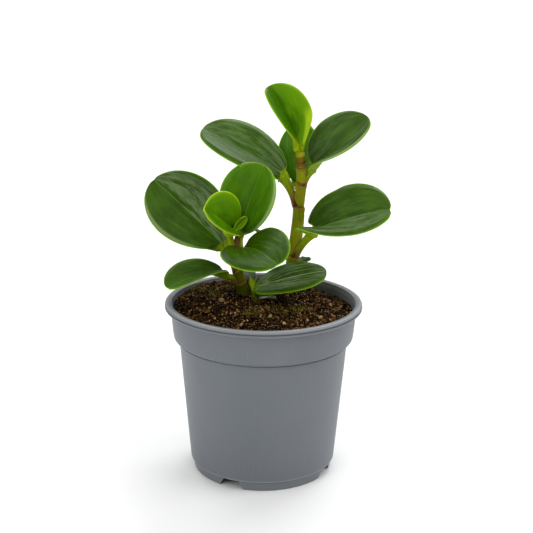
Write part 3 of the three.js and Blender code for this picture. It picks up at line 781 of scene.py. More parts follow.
def soil_material(name, lightness):
    """Dark peaty mix: browns that change from grain to grain, near black in the hollows as painted shade.
    """
    paint = Paint(name)
    fine = paint.noise(1700.0, 4.0, 0.7)
    grains = paint.node("ShaderNodeTexVoronoi", "Distance", {"Vector": paint.place(), "Scale": 900.0})
    colour = paint.ramp(
        paint.mark("tone") * 0.62 + fine * 0.38,
        (0.25, (0.0012, 0.0006, 0.0002)),
        (0.42, (0.018, 0.0080, 0.0020)),
        (0.57, (0.092, 0.043, 0.0115)),
        (0.71, (0.255, 0.132, 0.045)),
        (0.90, (0.600, 0.385, 0.190)),
    )
    # A lightness below 1 darkens it, as painted shade on the bed between the grains.
    return paint.finish(
        Base_Color=paint.mix(1.0 - lightness, colour, (0.010, 0.006, 0.003)), Roughness=fine * 0.25 + 0.72,
        Normal=paint.relief((fine, 0.0006, 0.9), (grains, 0.0006, 0.7)), Specular_IOR_Level=0.04,
    )


def moss_material():
    """Yellow-green tufts that fade to brown at the root."""
    paint = Paint("moss_green")
    fine = paint.noise(1200.0, 3.0, 0.6)
    colour = paint.mix(paint.mark("tone"), (0.055, 0.050, 0.002), (0.240, 0.212, 0.006))
    colour = paint.mix(fine.step(0.45, 0.7), colour, (0.030, 0.026, 0.005))
    return paint.finish(
        Base_Color=colour, Roughness=0.8, Normal=paint.relief((fine, 0.0005, 0.7)), Specular_IOR_Level=0.2)


def scrap_material():
    """A dried grey-green leaf scrap."""
    paint = Paint("dry_scrap")
    fine = paint.noise(700.0, 3.0, 0.6, (1, 0.3, 1))
    colour = paint.mix(fine.step(0.35, 0.65), (0.110, 0.130, 0.055), (0.380, 0.400, 0.250))
    return paint.finish(Base_Color=colour, Roughness=0.65, Normal=paint.relief((fine, 0.0003, 0.6)))


def floor_material():
    """Pale smooth studio floor with the faintest unevenness."""
    paint = Paint("studio_floor")
    colour = paint.mix(paint.noise(3.0, 3.0), (0.90, 0.90, 0.90), (0.93, 0.93, 0.93))
    return paint.finish(Base_Color=colour, Roughness=0.9, Specular_IOR_Level=0.1)


# ---------- camera, floor and lights ----------


def make_camera():
    data = bpy.data.cameras.new("camera")
    data.sensor_width = SENSOR
    data.lens = FOCAL_PIXELS / PHOTO_PIXELS * SENSOR
    data.clip_start = 0.01
    data.clip_end = 60
    camera = bpy.data.objects.new("camera", data)
    bpy.context.scene.collection.objects.link(camera)
    roll = Matrix.Rotation(math.radians(CAMERA_ROLL), 4, "Y")
    pitch = Matrix.Rotation(math.radians(90 - CAMERA_PITCH), 4, "X")
    camera.matrix_world = Matrix.Translation(CAMERA_PLACE) @ roll @ pitch
    bpy.context.scene.camera = camera


def make_floor():
    corners = [(FLOOR_REACH * x, FLOOR_REACH * y, 0) for x, y in ((-1, -1), (1, -1), (1, 1), (-1, 1))]
    floor = mesh_piece("studio_floor", corners, [(0, 1, 2, 3)])
    floor.data.materials.append(floor_material())


def make_lights():
    """Soft boxes so far away that they light the whole floor evenly, and a world that is dim as a light."""
    world = bpy.data.worlds.new("studio")
    world.use_nodes = True
    nodes, links = world.node_tree.nodes, world.node_tree.links
    background = nodes["Background"]
    background.inputs["Color"].default_value = (1, 1, 1, 1)
    # It is as white as the floor where it shows behind the floor's far edge.
    seen, strength = nodes.new("ShaderNodeLightPath"), nodes.new("ShaderNodeMath")
    strength.operation = "MULTIPLY_ADD"
    strength.inputs[1].default_value = 1 - WORLD_LIGHT
    strength.inputs[2].default_value = WORLD_LIGHT
    links.new(seen.outputs["Is Camera Ray"], strength.inputs[0])
    links.new(strength.outputs[0], background.inputs["Strength"])
    bpy.context.scene.world = world
    for name, (direction, angle, energy) in LIGHT_BOXES.items():
        data = bpy.data.lights.new(name, "SUN")
        data.angle = math.radians(angle)
        data.energy = energy
        light = bpy.data.objects.new(name, data)
        light.rotation_euler = Vector(direction).to_track_quat("Z", "Y").to_euler()
        bpy.context.scene.collection.objects.link(light)
    bpy.context.scene.view_settings.view_transform = "Standard"


# ---------- pot ----------


def filleted(corners, steps=4):
    """Points of a profile given as corners: radius, height and how far each is rounded."""
    points = []
    for k, (r, z, rounding) in enumerate(corners):
        here = np.array([r, z], float)
        if rounding == 0 or k in (0, len(corners) - 1):
            points.append(here)
            continue
        before = np.array(corners[k - 1][:2], float) - here
        after = np.array(corners[k + 1][:2], float) - here
        cut = min(rounding, 0.45 * np.linalg.norm(before), 0.45 * np.linalg.norm(after))
        a, b = here + unit(before) * cut, here + unit(after) * cut
        for t in np.linspace(0, 1, steps):
            points.append((1 - t) ** 2 * a + 2 * t * (1 - t) * here + t**2 * b)
    return points


def pot_profile():
    """The pot's section from under its floor, up the outside, over the rim and down the inside."""
    foot_inside, step = FOOT_RADIUS - FOOT_WALL, FOOT_HEIGHT + FLOOR_THICKNESS
    lip, floor_top = POT_HEIGHT - RIM_LIP_DROP, FLOOR_Z + FLOOR_THICKNESS
    corners = [
        (0, FLOOR_Z, 0),
        (FLOOR_STEP_RADIUS - 0.3, FLOOR_Z, 0.5),
        (FLOOR_STEP_RADIUS, FOOT_HEIGHT, 0.5),
        (foot_inside, FOOT_HEIGHT, 0.4),
        (foot_inside, 0, 0.3),
        (FOOT_RADIUS, 0, 0.5),
        (FOOT_RADIUS + 0.5, FOOT_HEIGHT - 0.2, 0.2),
        (BODY_BOTTOM_RADIUS - 0.4, FOOT_HEIGHT, 0.3),
        (BODY_BOTTOM_RADIUS, FOOT_HEIGHT + 0.7, 0.5),
    ]
    corners += [(BODY_TOP_RADIUS + r, BEAD_Z + z, rounding) for r, z, rounding in BEAD]
    corners += [
        (COLLAR_BOTTOM_RADIUS + 0.1, COLLAR_BOTTOM_Z + 0.4, 1.8),
        (COLLAR_BOTTOM_RADIUS + 0.6, COLLAR_BOTTOM_Z + 4.0, 2.0),
        (COLLAR_RADIUS, lip - 7.7, 2.5),
        (COLLAR_RADIUS + 0.3, lip - 0.8, 0.5),
    ]
    corners += [(RIM_RADIUS + r, POT_HEIGHT + z, rounding) for r, z, rounding in RIM]
    return filleted(corners + [
        (COLLAR_RADIUS - WALL, lip - 2, 1.0),
        (COLLAR_BOTTOM_RADIUS - WALL - 0.3, COLLAR_BOTTOM_Z + 2.3, 1.5),
        (BODY_TOP_RADIUS - WALL, BEAD_Z - 0.2, 1.5),
        (BODY_BOTTOM_RADIUS - WALL, step, 0.8),
        (FLOOR_STEP_RADIUS - WALL, step, 0.3),
        (FLOOR_STEP_RADIUS - WALL - 0.3, floor_top, 0.3),
        (0, floor_top, 0),
    ])


def turned_piece(name, profile, sides):
    """A closed body turned about Z from a profile that starts and ends on the axis."""
    turn, points = full_turn(sides), []
    for r, z in profile[1:-1]:
        points += list(zip(r * np.cos(turn), r * np.sin(turn), np.full(sides, z)))
    count = len(points)
    points += [(0, 0, profile[0][1]), (0, 0, profile[-1][1])]
    return mesh_piece(name, points, tube_faces(len(profile) - 2, sides, count, count + 1))


def cutter(name, outline, middle, place):
    """A prism: an outline in x and z, drawn out along y on both sides of middle, then moved by a matrix."""
    ends = middle - CUT_REACH, middle + CUT_REACH
    points = [tuple(place @ Vector((x, y, z))) for y in ends for x, z in outline]
    return mesh_piece(name, points, capped_faces(2, len(outline)))


def notch_outline():
    """Half widths of a foot notch from below the ground up: flared at the bottom, rounded at the top."""
    halves = []
    for z in np.concatenate([[-2], np.linspace(0, 1, 7), np.linspace(1.4, NOTCH_HEIGHT - 1, 4)]):
        inside = max(0, NOTCH_ROUNDING - max(z, 0))
        flare = NOTCH_ROUNDING - math.sqrt(NOTCH_ROUNDING**2 - inside**2)
        width = lerp(NOTCH_WIDTH_BOTTOM, NOTCH_WIDTH_TOP, z / NOTCH_HEIGHT) / 2 - NOTCH_ROUNDING / 2
        halves.append((width + flare, z))
    top = halves[-1][0]
    for turn in np.linspace(0.3, 1, 5) * np.pi / 2:
        halves.append((top - 1 + math.cos(turn), NOTCH_HEIGHT - 1 + math.sin(turn)))
    return halves + [(-x, z) for x, z in reversed(halves)]


def pot_cutters():
    """A cutter for each notch in the foot, for the drain hole inside it, and for the one in the middle."""
    circle = [(DRAIN_RADIUS * math.cos(a), DRAIN_RADIUS * math.sin(a)) for a in full_turn(DRAIN_SIDES)]
    upright = Matrix.Rotation(math.pi / 2, 4, "X")
    cutters = [cutter("drain_middle", circle, FLOOR_Z, upright)]
    for k in range(NOTCH_COUNT):
        turn = Matrix.Rotation(math.radians(NOTCH_FIRST_ANGLE + 90 + k * 360 / NOTCH_COUNT), 4, "Z")
        away = Matrix.Translation((0, -DRAIN_CIRCLE, 0))
        cutters.append(cutter(f"notch_{k}", notch_outline(), -FOOT_RADIUS, turn))
        cutters.append(cutter(f"drain_{k}", circle, FLOOR_Z, turn @ away @ upright))
    return cutters


def cut_away(piece, cutters):
    """Cuts pieces out of another one, and removes them."""
    tools = bpy.data.collections.new("cutters")
    for tool in cutters:
        tools.objects.link(tool)
    cut = piece.modifiers.new("cut", "BOOLEAN")
    cut.operation = "DIFFERENCE"
    cut.solver = "EXACT"
    cut.operand_type = "COLLECTION"
    cut.collection = tools
    made = bpy.data.meshes.new_from_object(piece.evaluated_get(bpy.context.evaluated_depsgraph_get()))
    piece.modifiers.clear()
    piece.data = made
    for tool in cutters:
        bpy.data.objects.remove(tool)
    bpy.data.collections.remove(tools)


def make_pot():
    pot = turned_piece("pot_shell", pot_profile(), POT_SIDES)
    cut_away(pot, pot_cutters())
    pot.data.shade_smooth()
    pot.data.set_sharp_from_angle(angle=math.radians(POT_SHARP_ANGLE))
    settle(pot, "pot", pot_material(), "pot")


# ---------- soil ----------


def ground_height(x, y):
    """Height of the soil's top at a place: mounded, uneven and crumbly."""
    share = np.hypot(x, y) / SOIL_RADIUS
    level = SOIL_EDGE_Z + SOIL_MOUND * (1 - share**2) + SOIL_LIFT * smooth(0.8 * y - 0.6 * x, 5, 45)
    for height, width, seed in SOIL_BUMPS:
        level = level + height * lattice_noise(x, y, width, seed)
    return level


def ground_point(x, y):
    return x, y, float(ground_height(x, y))


def make_soil_bed(material):
    """The soil down to the pot's floor, just clear of its wall, with an uneven top."""
    turn = full_turn(SOIL_SIDES)
    inside, wide, step = WALL + 0.4, FLOOR_STEP_RADIUS - WALL - 1.0, FOOT_HEIGHT + FLOOR_THICKNESS + 0.3
    side = [
        (COLLAR_BOTTOM_RADIUS - 0.3 - inside, COLLAR_BOTTOM_Z + 2.3),
        (BODY_TOP_RADIUS - inside, BEAD_Z - 0.5),
        (BODY_BOTTOM_RADIUS - inside, step),
        (wide + 0.3, step),
        (wide, SOIL_BOTTOM_Z),
    ] + [(wide * k / 13, SOIL_BOTTOM_Z) for k in range(12, 0, -1)]
    top = [(SOIL_RADIUS * k / SOIL_RINGS, None) for k in range(1, SOIL_RINGS + 1)]
    points, tones = [], []
    for r, z in top + side:
        x, y = r * np.cos(turn), r * np.sin(turn)
        if z is None:
            z = ground_height(x, y)
            # The top's tones are low: dark peat, painted darker still as shade in the hollows between the
            # loose grains.
            tone = 0.22 * lattice_noise(x, y, 2.4, 8) + 0.10 * lattice_noise(x, y, 9, 9) + 0.22
        else:
            z = z + (0.15 * (1 + lattice_noise(x, y, 1.5, 12)) if z == SOIL_BOTTOM_Z else 0 * x)
            tone = 0.40 + 0.2 * lattice_noise(x, y, 1.5, 11)
        points += list(zip(x, y, z))
        tones += list(tone)
    count = len(points)
    points += [ground_point(0, 0), (0, 0, SOIL_BOTTOM_Z)]
    faces = tube_faces(count // SOIL_SIDES, SOIL_SIDES, count, count + 1)
    bed = mesh_piece("soil_bed", points, faces, {"tone": tones + [0.3, 0.3]})
    settle(bed, "soil", material, "soil")


def round_solid(level):
    """Points and faces of a unit ball of 20 triangles, or of 80 at level 1."""
    g = (1 + 5**0.5) / 2
    points = [(-1, g, 0), (1, g, 0), (-1, -g, 0), (1, -g, 0), (0, -1, g), (0, 1, g),
              (0, -1, -g), (0, 1, -g), (g, 0, -1), (g, 0, 1), (-g, 0, -1), (-g, 0, 1)]
    faces = [(0, 11, 5), (0, 5, 1), (0, 1, 7), (0, 7, 10), (0, 10, 11), (1, 5, 9), (5, 11, 4), (11, 10, 2),
             (10, 7, 6), (7, 1, 8), (3, 9, 4), (3, 4, 2), (3, 2, 6), (3, 6, 8), (3, 8, 9), (4, 9, 5),
             (2, 4, 11), (6, 2, 10), (8, 6, 7), (9, 8, 1)]
    points = [tuple(p) for p in unit(np.array(points, float))]
    for _ in range(level):
        middles, finer = {}, []
        for a, b, c in faces:
            cut = []
            for edge in ((a, b), (b, c), (c, a)):
                key = tuple(sorted(edge))
                if key not in middles:
                    middles[key] = len(points)
                    points.append(tuple(unit(np.array(points[edge[0]]) + np.array(points[edge[1]]))))
                cut.append(middles[key])
            finer += [(a, cut[0], cut[2]), (b, cut[1], cut[0]), (c, cut[2], cut[1]), tuple(cut)]
        faces = finer
    return np.array(points), faces


def clear_of_stems(x, y, room):
    """True where a place on the soil is at least room away from every stem."""
    clear = np.ones(np.shape(x), bool)
    for stem in STEMS.values():
        foot = np.array(stem["path"][1])
        clear &= np.hypot(x - foot[0], y - foot[1]) > stem["radii"][0] + room
    return clear


def scatter(random, count, reach, room=0.2):
    """Random places on the soil, clear of the stems."""
    x, y = np.zeros(0), np.zeros(0)
    while len(x) < count:
        turn, r = random.uniform(0, 2 * np.pi, count), reach * np.sqrt(random.uniform(0, 1, count))
        u, v = r * np.cos(turn), r * np.sin(turn)
        keep = clear_of_stems(u, v, room)
        x, y = np.append(x, u[keep]), np.append(y, v[keep])
    return x[:count], y[:count]


def random_turn(random):
    """A random rotation as a 3 by 3 array."""
    return np.array(Quaternion(unit(random.normal(size=4))).to_matrix())


def pebbles(name, random, places, sizes, tones, level, flatness, sink):
    """Small uneven lumps at places on the soil, in one mesh."""
    ball, triangles = round_solid(level)
    lumps = []
    for (x, y, z), size, tone in zip(places, sizes, tones):
        shape = ball * (1 + random.uniform(-0.22, 0.22, (len(ball), 1)))
        shape = (shape * random.uniform(flatness, 1, 3)) @ random_turn(random).T * size
        lumps.append((shape + np.array([x, y, z + sink * size]), triangles, {"tone": tone}))
    return joined_piece(name, lumps, smooth_faces=False)


def make_crumbs(material):
    """The loose grains: many fine crumbs, and fewer larger lumps of bark and peat."""
    random = np.random.default_rng(GRAIN_SEED)
    for name, (count, low, high, level, spread) in GRAINS.items():
        x, y = scatter(random, count, SOIL_RADIUS - high)
        sizes = lerp(low, high, random.uniform(0, 1, count) ** 2)
        tones = np.clip(random.normal(0.50, spread, count), 0.0, 1.1)
        places = np.stack([x, y, ground_height(x, y)], 1)
        crumbs = pebbles(name, random, places, sizes, tones, level, 0.55, 0.15)
        settle(crumbs, "soil", material)
    places = [ground_point(x, y) for x, y, _ in PALE_LUMPS]
    sizes = [size for _, _, size in PALE_LUMPS]
    pale = pebbles("soil_pale_lumps", random, places, sizes, [1.05] * len(sizes), 2, 0.7, 0.25)
    settle(pale, "soil", material)


def make_fibres(material):
    """Short root and bark fibres that lie on the soil, thinner towards both ends."""
    random = np.random.default_rng(FIBRE_SEED)
    xs, ys = scatter(random, FIBRE_COUNT, SOIL_RADIUS - 6, 1)
    steps, sides, fibres = np.linspace(-0.5, 0.5, 8), 5, []
    thickness = np.tile(0.25 + 0.75 * np.cos(np.pi * steps)[:, None], sides)
    for x, y in zip(xs, ys):
        heading, bend = random.uniform(0, 2 * np.pi), random.uniform(-0.25, 0.25)
        length, radius = random.uniform(*FIBRE_LENGTHS), random.uniform(*FIBRE_RADII)
        tone = random.uniform(0.45, 0.95)
        u = x + length * steps * np.cos(heading + bend * steps * 4)
        v = y + length * steps * np.sin(heading + bend * steps * 4)
        path = np.stack([u, v, ground_height(u, v) + 0.35], 1)
        fibres.append((tube(path, radius * thickness), capped_faces(len(steps), sides), {"tone": tone}))
    settle(joined_piece("soil_fibres", fibres), "soil", material)


def make_moss():
    """Yellow-green moss in a few patches near the stems."""
    random = np.random.default_rng(MOSS_SEED)
    places, sizes, tones = [], [], []
    for k in range(MOSS_COUNT):
        x0, y0, spread = MOSS_PATCHES[k % len(MOSS_PATCHES)]
        x, y = x0 + random.normal(0, spread * 0.5), y0 + random.normal(0, spread * 0.5)
        if math.hypot(x, y) < SOIL_RADIUS - 2 and clear_of_stems(x, y, 0.2):
            places.append(ground_point(x, y))
            sizes.append(random.uniform(*MOSS_RADII))
            tones.append(random.uniform(0, 1))
    settle(pebbles("soil_moss", random, places, sizes, tones, 0, 0.4, 0.5), "soil", moss_material())


def make_scrap():
    """A dried leaf scrap that lies behind the side shoot's foot."""
    rows, columns, (length, width) = 14, 9, SCRAP_SIZE
    along, half_thick = unit(np.array(SCRAP_ALONG)), np.array([0, 0, SCRAP_THICKNESS / 2])
    across = np.cross([0, 0, 1], along)
    upper, lower = [], []
    for i in range(rows):
        for j in range(columns):
            s, t = i / (rows - 1), 2 * j / (columns - 1) - 1
            w = width / 2 * math.sin(math.pi * (0.08 + 0.84 * s)) ** 0.6
            lift = 0.9 * t * t + 0.35 * math.sin(7 * s + 2 * t) - 0.6 * (s - 0.5)
            p = SCRAP_MIDDLE + along * (s - 0.5) * length + across * t * w + np.array([0, 0, lift])
            upper.append(p + half_thick)
            lower.append(p - half_thick)
    count = rows * columns
    sheet = grid_faces(rows, columns, closed=False)
    faces = sheet + [tuple(count + k for k in reversed(face)) for face in sheet]
    rim = list(range(columns)) + [i * columns + columns - 1 for i in range(1, rows)]
    rim += [count - 1 - j for j in range(1, columns)] + [i * columns for i in range(rows - 2, 0, -1)]
    faces += [(b, a, a + count, b + count) for a, b in zip(rim, rim[1:] + rim[:1])]
    settle(mesh_piece("soil_scrap", upper + lower, faces), "leaf", scrap_material())


# ---------- stems ----------


def make_stem(name, node, material):
    """A stem with slanted rings at its nodes: it swells below each and is a little thinner above."""
    stem = STEMS[node]
    rows = int((stem["path"][-1][2] - stem["path"][0][2]) * STEM_ROWS_PER_MM)
    path, turn = smooth_path(stem["path"], rows), full_turn(STEM_SIDES)
    z = path[:, 2:3]
    share = np.clip((z - z[0]) / (z[-1] - z[0]), 0, 1)
    radius = lerp(*stem["radii"], share**2) + 0.10 * np.sin(2 * turn + 9 * share)
    radius = radius + 0.05 * np.sin(5 * turn + 3 * share) + 0.03 * np.sin(9 * turn - 5 * share + 1)
    ring, blush = np.zeros_like(radius), np.zeros_like(radius)
    for height, slant, lowest in stem["nodes"]:
        above = z - height + slant * np.cos(turn - math.radians(lowest))
        radius = radius + NODE_SWELL * np.exp(-((above / np.where(above < 0, NODE_SPREAD, 0.45)) ** 2))
        radius = radius - NODE_STEP * smooth(above, 0, 0.6) * np.exp(-np.maximum(above, 0) / 3.5)
        ring = np.maximum(ring, np.exp(-((above / RING_WIDTH) ** 2)))
        blush = np.maximum(blush, np.exp(-(((above - 1.2) / 1.3) ** 2)))
    # Above its last node a stem is red-brown up to its crown.
    crown = stem.get("crown", 0)
    blush = np.maximum(blush, smooth(z, stem["nodes"][-1][0], crown - 5) * (z < crown) if crown else 0)
    apex = path[-1] + unit(path[-1] - path[-2]) * stem.get("apex", 0.8)
    points = np.vstack([tube(path, radius), path[0], apex])
    marks = {"height": share + 0 * turn, "ring": ring, "blush": blush}
    marks = {key: np.append(values, [0, values[-1, -1]]) for key, values in marks.items()}
    faces = tube_faces(rows, STEM_SIDES, len(points) - 2, len(points) - 1)
    settle(mesh_piece(name, points, faces, marks), "stem", material, node)


def make_bud(material):
    """The closed bud beside the side shoot's leaf, with its seam."""
    rows, sides = 30, 24
    share = np.linspace(0, 1, rows)[:, None]
    radius = lerp(*BUD_RADII, share) * (1 - 0.9 * np.maximum(0, share - 0.8) / 0.2)
    radius = radius + 0.3 * np.sin(np.pi * share)
    radius = radius * (1 - 0.18 * np.exp(-((full_turn(sides) - 1.2) / 0.25) ** 2))
    points = tube(smooth_path(BUD_PATH, rows), radius)
    marks = {"height": np.full(len(points), 0.8)}
    settle(mesh_piece("side_bud", points, capped_faces(rows, sides), marks), "stem", material)


# ---------- leaves ----------


def outline(share):
    """Half the blade's width at a share of its length, from 0 to 1."""
    widest = OUTLINE_BASE / (OUTLINE_BASE + OUTLINE_TIP)
    peak = widest**OUTLINE_BASE * (1 - widest) ** OUTLINE_TIP
    return share**OUTLINE_BASE * (1 - share) ** OUTLINE_TIP / peak


def blade_axes(leaf):
    """Along the midrib at the base, to its left, and out of the upper face."""
    heading, pitch, roll = (math.radians(leaf[k]) for k in ("heading", "pitch", "roll"))
    along = np.array([
        math.cos(pitch) * math.cos(heading), math.cos(pitch) * math.sin(heading), math.sin(pitch)])
    left = turned_about(np.array([-math.sin(heading), math.cos(heading), 0]), along, roll)
    return along, left, np.cross(along, left)


def ripples(seed, x, y):
    """Shallow waves that run along the blade, in millimetres, for x along and y across it."""
    random = np.random.default_rng(seed)
    total = np.zeros(np.broadcast(x, y).shape)
    for width, size in RIPPLES:
        for _ in range(2):
            slant = random.uniform(-0.15, 0.15)
            phase, drift = random.uniform(0, 2 * np.pi, 2)
            fade = 0.6 + 0.4 * np.sin(2 * np.pi * x / (2.5 * width) + drift)
            total = total + size * fade * np.sin(2 * np.pi * (y + slant * x) / width + phase)
    return total


def section_shares():
    """Places across a blade from margin to margin, closer at the midrib and at both margins."""
    q = np.linspace(0, 1, HALF_COLUMNS + 1)
    g = 0.35 * q + 0.65 * (3 * q**2 - 2 * q**3)
    return np.concatenate([-g[::-1], g[1:]])


def stalk_rows(leaf, axes, end, crease, side, sign):
    """The stalk's first point and its rows from there to end, where crease folds its halves up."""
    (along, left, up), (start_radius, end_radius) = axes, leaf["stalk"]
    start = np.array(leaf["start"], float)
    lead = end - PETIOLE_LEAN * np.linalg.norm(end - start) * along
    near = lerp(start, lead, 0.45)
    q = np.linspace(0, 1, PETIOLE_ROWS + 1)[:, None]
    path = (1 - q) ** 3 * start + 3 * q * (1 - q) ** 2 * near + 3 * q**2 * (1 - q) * lead + q**3 * end
    # The sections stand square to the stalk, and turn into the blade's own over its last part.
    hinge = np.cross(along, unit(path[-1] - path[-2]))
    kink = math.asin(min(1.0, float(np.linalg.norm(hinge))))
    hinge = unit(hinge) if kink > 1e-4 else left
    sides, ups = carried_frames(path, turned_about(left, hinge, kink), turned_about(up, hinge, kink))
    rows = []
    for k in range(PETIOLE_ROWS):
        share = k / PETIOLE_ROWS
        turn = -kink * smooth(share, 0.55, 1.0)
        wide, high = turned_about(sides[k], hinge, turn), turned_about(ups[k], hinge, turn)
        r = lerp(start_radius, end_radius, share) + STALK_FLARE * math.exp(-((share / 0.16) ** 2))
        r = r * (1 - STALK_WAIST * math.sin(math.pi * share))
        y = r * lerp(1, leaf["funnel"], smooth(share, 0.30, 1.0)) * side
        fold = crease * smooth(share, 0.5, 1.0)
        soft = np.sqrt(y**2 + MIDRIB_SOFTNESS**2)
        lean = (fold * y / soft)[:, None]
        channel = STALK_CHANNEL * smooth(share, 0.2, 1.0) * np.exp(-((side / CHANNEL_WIDTH) ** 2))
        channel = channel * (sign > 0)
        lift = r * np.sqrt(np.clip(1 - side**2, 0, 1)) * sign * (1 - channel)
        lift = lift * np.where(sign < 0, 1 + TRUMPET * smooth(share, 0.35, 1.0), 1)
        row = path[k] + wide * (y * np.cos(fold))[:, None]
        row = row + high * ((soft - MIDRIB_SOFTNESS) * np.sin(fold))[:, None]
        rows.append(row + lift[:, None] * (high * np.cos(lean) - wide * np.sin(lean)))
    return path[0], np.array(rows)


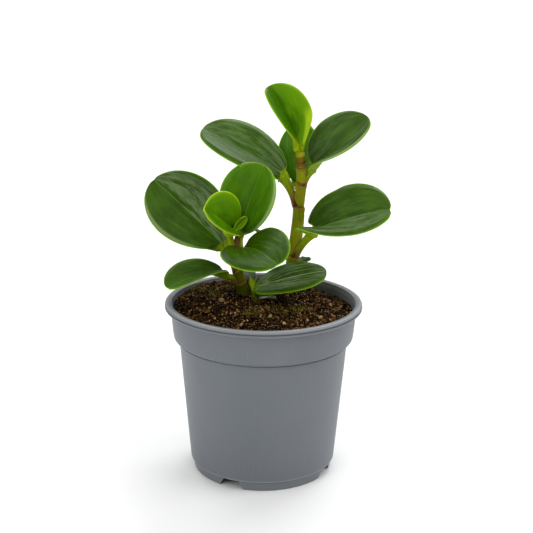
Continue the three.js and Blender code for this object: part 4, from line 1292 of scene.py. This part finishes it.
def leaf_mesh(leaf, seed):
    """A blade and its stalk as rows of closed sections, from the stem to the tip."""
    axes = along, left, up = blade_axes(leaf)
    length, width = (BLADE_SHRINK * size for size in leaf["size"])
    arch, base, stalk_end = math.radians(leaf["arch"]), np.array(leaf["base"], float), leaf["stalk"][1]
    across = section_shares()
    side = np.concatenate([across, across[-2:0:-1]])[None, :]
    columns, t = side.shape[1], np.abs(side)
    sign = np.where(np.arange(columns) < len(across), 1.0, -1.0)[None, :]

    def halves(key):
        """The first of a pair on the left half, and the second on the right."""
        return np.where(side > 0, *leaf[key])

    def midrib(u):
        """A point on the midrib, its direction there, and up from it."""
        u = np.asarray(u)[..., None]
        point = base + (along * np.sin(u * arch) - up * (1 - np.cos(u * arch))) * (length / arch)
        point = point + left * leaf["sway"] * length * u**2
        ahead = along * np.cos(u * arch) - up * np.sin(u * arch)
        return point, ahead, up * np.cos(u * arch) + along * np.sin(u * arch)

    # The blade's middle surface: its half width, how its halves fold up, and its lobes and notch.
    u = ((1 - np.cos(np.pi * np.arange(BLADE_ROWS) / BLADE_ROWS)) / 2)[:, None]
    half = width / 2 * outline(u) * (1 - leaf["taper"] * (1 - smooth(u, 0, 0.4)))
    open_share = smooth(u, 0, leaf["neck"])
    reach = np.sqrt(half**2 + (leaf["funnel"] * stalk_end) ** 2 * (1 - open_share))
    reach = reach * (1 - leaf["uneven"] * np.sign(side) * smooth(u, 0, 0.5))
    reach = reach * (1 - halves("pinch") * smooth(u, 0, 0.06) * (1 - smooth(u, 0.06, 0.40)))
    y = side * reach
    fold = np.radians(leaf["fold"][0] + leaf["fold"][1] * (1 - u) ** 2 + halves("cup") * (1 - u) ** 6)
    fold = fold * lerp(STALK_FOLD, 1, smooth(u, 0, FOLD_START))
    soft = np.sqrt(y**2 + MIDRIB_SOFTNESS**2)
    back = halves("lobe") * length * t**1.5 * (1 - u) ** 5 * smooth(u, 0, LOBE_START)
    sink = (1 - open_share) * max(0, stalk_end - BLADE_THICKNESS / 2) * 0.8
    rise = (soft - MIDRIB_SOFTNESS) * np.sin(fold) + halves("lift") * back - sink
    back = back + leaf["notch"] * u**10 * np.exp(-((y / DENT_WIDTH) ** 2))
    middle, ahead, above = midrib(u)
    points = middle + left * (y * np.cos(fold))[..., None]
    points = points + above * rise[..., None] - ahead * back[..., None]

    # Its thickness and relief.
    small = min(1.0, half.max() / 16)
    veins = np.zeros_like(y)
    for root, end, bow in VEINS:
        run = np.clip((u - root) / (1 - root), 0, 1)
        gap = np.abs(t - end * run**bow) * half
        veins = veins + np.exp(-((gap / VEIN_WIDTH) ** 2)) * smooth(run, 0, 0.1) * smooth(run, 0.95, 0.6)
    plump = lerp(BLADE_THICKNESS, MARGIN_THICKNESS, t**2) / 2 * np.sqrt(np.clip(1 - t**9, 0, 1))
    circle = stalk_end * np.sqrt(np.clip(1 - t**2, 0, 1))
    keel_size = KEEL * (stalk_end * (1 + TRUMPET) - BLADE_THICKNESS / 2) * (1 - smooth(u, 0, KEEL_REACH))
    keel_width = lerp(0.9 * leaf["funnel"] * stalk_end, 0.8, smooth(u, 0, KEEL_REACH))
    keel = (keel_size + 0.35 * (1 - u)) * np.exp(-((y / keel_width) ** 2))
    groove = GROOVE_DEPTH * np.exp(-((y / GROOVE_WIDTH) ** 2)) * (1 - 0.6 * u)
    channel = STALK_CHANNEL * np.exp(-((side / CHANNEL_WIDTH) ** 2)) * (1 - open_share)
    inner = open_share * np.sqrt(np.clip(1 - t**6, 0, 1))
    upper = lerp(circle * (1 - channel), plump, open_share)
    upper = upper - (groove - leaf["ridge"] * veins * small) * inner
    lower = lerp(circle * (1 + TRUMPET), plump, open_share) + (keel + 0.06 * veins * small) * inner
    curl = CURL_DROP * small * smooth(t, CURL_START, 1) ** 1.5 * smooth(half, 0.5, 9)
    wave = leaf["ripple"] * ripples(seed, u * length, y) * small * (1 - t**6)
    crinkle = leaf["crinkle"] * smooth(t, 0.45, 1) * np.sin(34 * u + 2 * side)
    lift = np.where(sign > 0, upper, -lower) * (t <= 0.9999) + (wave + crinkle - curl) * open_share
    lean = (fold * y / soft)[..., None]
    points = points + (above * np.cos(lean) - left * np.sin(lean)) * lift[..., None]

    end = base - up * float(sink[0, 0])
    root_point, stalk = stalk_rows(leaf, axes, end, fold[0], side[0], sign[0])
    tip, ahead, _ = midrib(1.0)
    count = (PETIOLE_ROWS + BLADE_ROWS) * columns
    rows = np.concatenate([stalk, points]).reshape(-1, 3)
    ends = root_point, tip - ahead * leaf["notch"]
    faces = tube_faces(PETIOLE_ROWS + BLADE_ROWS, columns, count, count + 1)

    def mark(on_stalk, on_blade, start, end):
        """A number for every point: on the stalk's rows, on the blade's rows, and at both ends."""
        parts = (on_stalk, PETIOLE_ROWS), (on_blade, BLADE_ROWS)
        return np.concatenate([np.broadcast_to(a, (n, columns)).ravel() for a, n in parts] + [[start, end]])

    face = sign * smooth(1 - t, 0, 0.04)
    marks = {
        "share": mark(np.arange(PETIOLE_ROWS)[:, None] / PETIOLE_ROWS - 1, u, -1, 1),
        "side": mark(side, side, 0, 0),
        "half": mark(stalk_end, reach, 1, 0),
        "face": mark(face, face, 0, 0),
        "seed": mark(seed, seed, seed, seed),
    }
    return np.vstack([rows, *ends]), faces, marks


def make_leaf(node, facts, seed):
    """A leaf, and the tip leaf that has grown together with it if it has one."""
    leaf = LEAF_DEFAULTS | facts
    parts = [leaf_mesh(leaf, seed)]
    if "tip" in leaf:
        parts.append(leaf_mesh(LEAF_DEFAULTS | leaf["tip"], seed + 50))
    name = node.replace("leaf_", "") + "_leaf"
    slot = "leaf_young" if leaf["skin"] == "lime" else "leaf"
    settle(joined_piece(name, parts), slot, leaf_material(name + "_skin", leaf), node)


# ---------- making ----------

make_camera()
make_floor()
make_lights()
make_pot()
ground = soil_material("soil_mix", 0.9)
make_soil_bed(ground)
make_crumbs(soil_material("soil_grains", 1.0))
make_fibres(soil_material("soil_fibre", 1.0))
make_moss()
make_scrap()
olive = stem_material("stem_olive", (0.178, 0.208, 0.0010), (0.280, 0.305, 0.0020), 0.30)
dark_olive = stem_material("stem_dark_olive", (0.052, 0.086, 0.0008), (0.110, 0.130, 0.0020), 0.32)
green = stem_material("stem_green", (0.045, 0.075, 0.0030), (0.060, 0.110, 0.0035), 0.25)
make_stem("tall_stem", "stem_tall", olive)
make_stem("short_stem", "stem_short", dark_olive)
make_stem("side_stem", "stem_side", green)
make_bud(green)
for number, (node_name, leaf_facts) in enumerate(LEAVES.items()):
    make_leaf(node_name, leaf_facts, number + 1)
